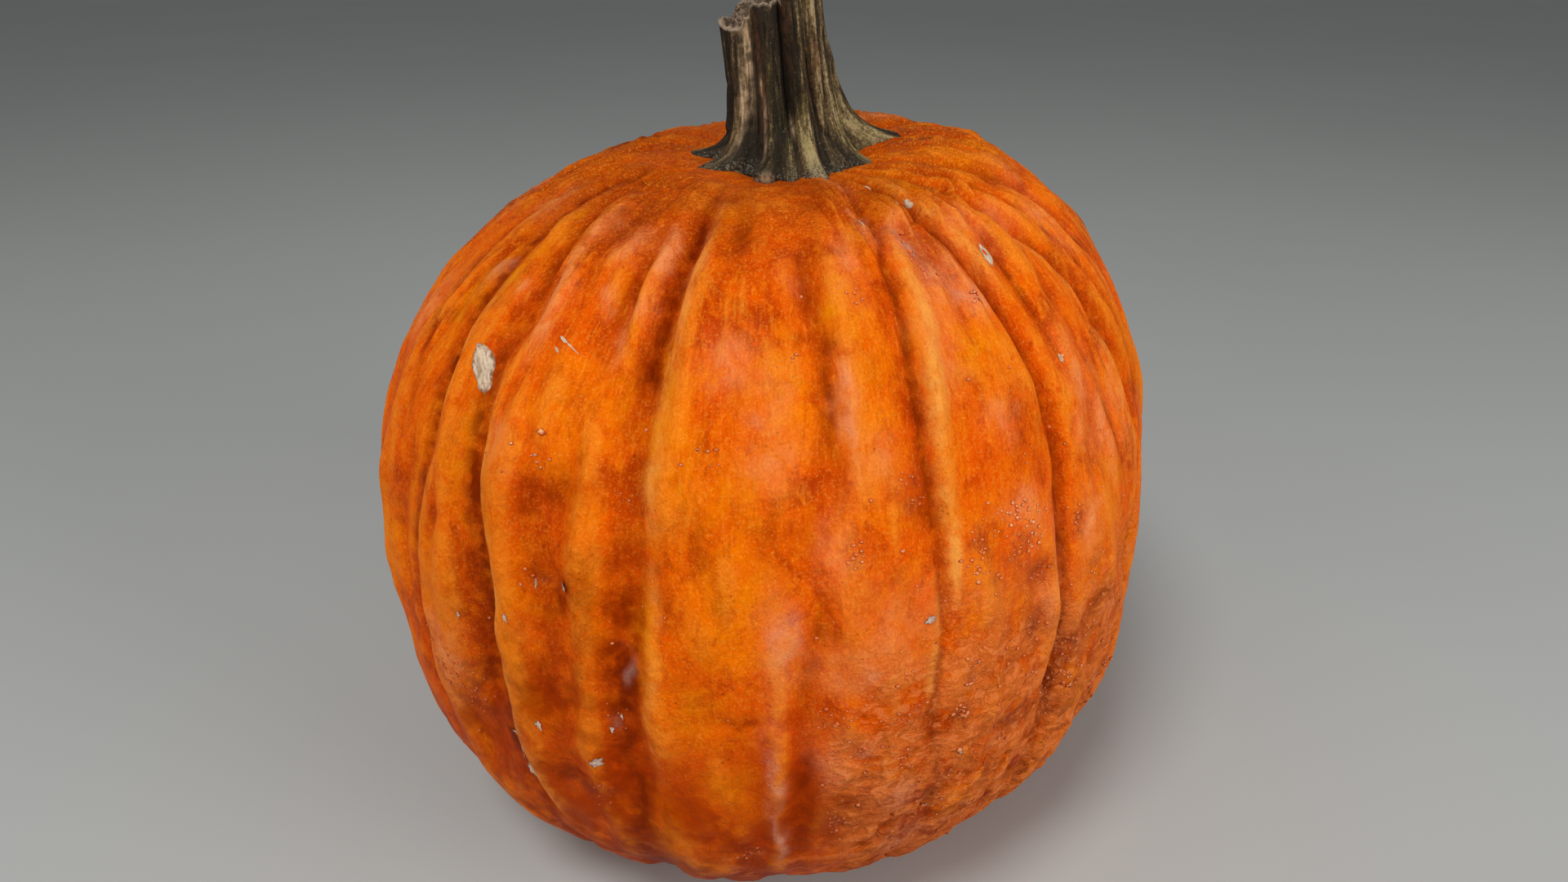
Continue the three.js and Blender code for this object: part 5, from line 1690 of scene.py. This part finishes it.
height = plus(tree, bark.outputs["Height"], times(tree, dust, 0.3))
dress(tree, surface, colour, remap(tree, dust, 0.3, 0.7, 0.66, 0.86), height, 0.9, 0.0009)

stalk.data.materials.append(dry_bark)
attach(stalk, "root")
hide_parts("stem")

# --------------------------------------------------------------------------------------------------
# The floor: a plain pale surface that the pumpkin stands on, far wider than what is seen of it. It belongs
# to the picture only.
# --------------------------------------------------------------------------------------------------

FLOOR_REACH = 9.0
FLOOR_TONES = ((0.50, 0.51, 0.49), (0.54, 0.55, 0.53))
floor_corners = [(x * FLOOR_REACH, y * FLOOR_REACH, 0) for x, y in ((-1, -1), (1, -1), (1, 1), (-1, 1))]
floor_mesh = bpy.data.meshes.new("floor")
floor_mesh.from_pydata(floor_corners, [], [(0, 1, 2, 3)])
floor = bpy.data.objects.new("floor", floor_mesh)
bpy.context.scene.collection.objects.link(floor)
floor_paint, tree, surface, place = new_material("floor_paint", 0.1)
tree.links.new(blend_colour(tree, noise(tree, place, 3, 3.0), *FLOOR_TONES), surface.inputs["Base Color"])
surface.inputs["Roughness"].default_value = 0.9
floor_mesh.materials.append(floor_paint)

# --------------------------------------------------------------------------------------------------
# Soft studio light: a wide key from the upper left, a lamp low on each side, and an even, slightly blue
# light from all round.
# --------------------------------------------------------------------------------------------------

LIGHT_AIM = (0, 0, 0.12)
SKY_COLOUR = (0.95, 0.98, 1.0, 1.0)
SKY_STRENGTH = 0.19

# Each lamp: name, place, width, power.
LIGHTS = [
    ("key", (-0.30, -0.62, 1.25), 0.45, 8.4),
    ("left", (-1.05, -0.85, 0.45), 0.9, 3.4),
    ("right", (1.15, -0.75, 0.55), 0.8, 9.6),
]
for name, at, size, power in LIGHTS:
    lamp = bpy.data.lights.new(name, "AREA")
    lamp.shape = "DISK"
    lamp.size = size
    lamp.energy = power
    held = bpy.data.objects.new(name, lamp)
    held.location = at
    held.rotation_euler = (Vector(LIGHT_AIM) - Vector(at)).to_track_quat("-Z", "Y").to_euler()
    bpy.context.scene.collection.objects.link(held)

sky = bpy.data.worlds.new("studio")
sky.use_nodes = True
sky.node_tree.nodes["Background"].inputs["Color"].default_value = SKY_COLOUR
sky.node_tree.nodes["Background"].inputs["Strength"].default_value = SKY_STRENGTH
bpy.context.scene.world = sky
bpy.context.scene.view_settings.view_transform = "Standard"

# --------------------------------------------------------------------------------------------------
# The camera: stands in front of the fruit and a little above its crown, and looks down on it. Its place is
# worked out from what it aims at, how far off that is and how steeply it looks down.
# --------------------------------------------------------------------------------------------------

CAMERA_AIM = (-0.25, 5.59, 119.16)
CAMERA_DISTANCE = 367.77
CAMERA_PITCH = 0.4758
CAMERA_LENS = 24.44
camera_data = bpy.data.cameras.new("camera")
camera_data.sensor_width = 36
camera_data.lens = CAMERA_LENS
camera_data.clip_start = 0.01
camera = bpy.data.objects.new("camera", camera_data)
aim = Vector(CAMERA_AIM) * MM
camera.location = aim - Vector((0, math.cos(CAMERA_PITCH), -math.sin(CAMERA_PITCH))) * CAMERA_DISTANCE * MM
camera.rotation_euler = (aim - camera.location).to_track_quat("-Z", "Y").to_euler()
bpy.context.scene.collection.objects.link(camera)
bpy.context.scene.camera = camera
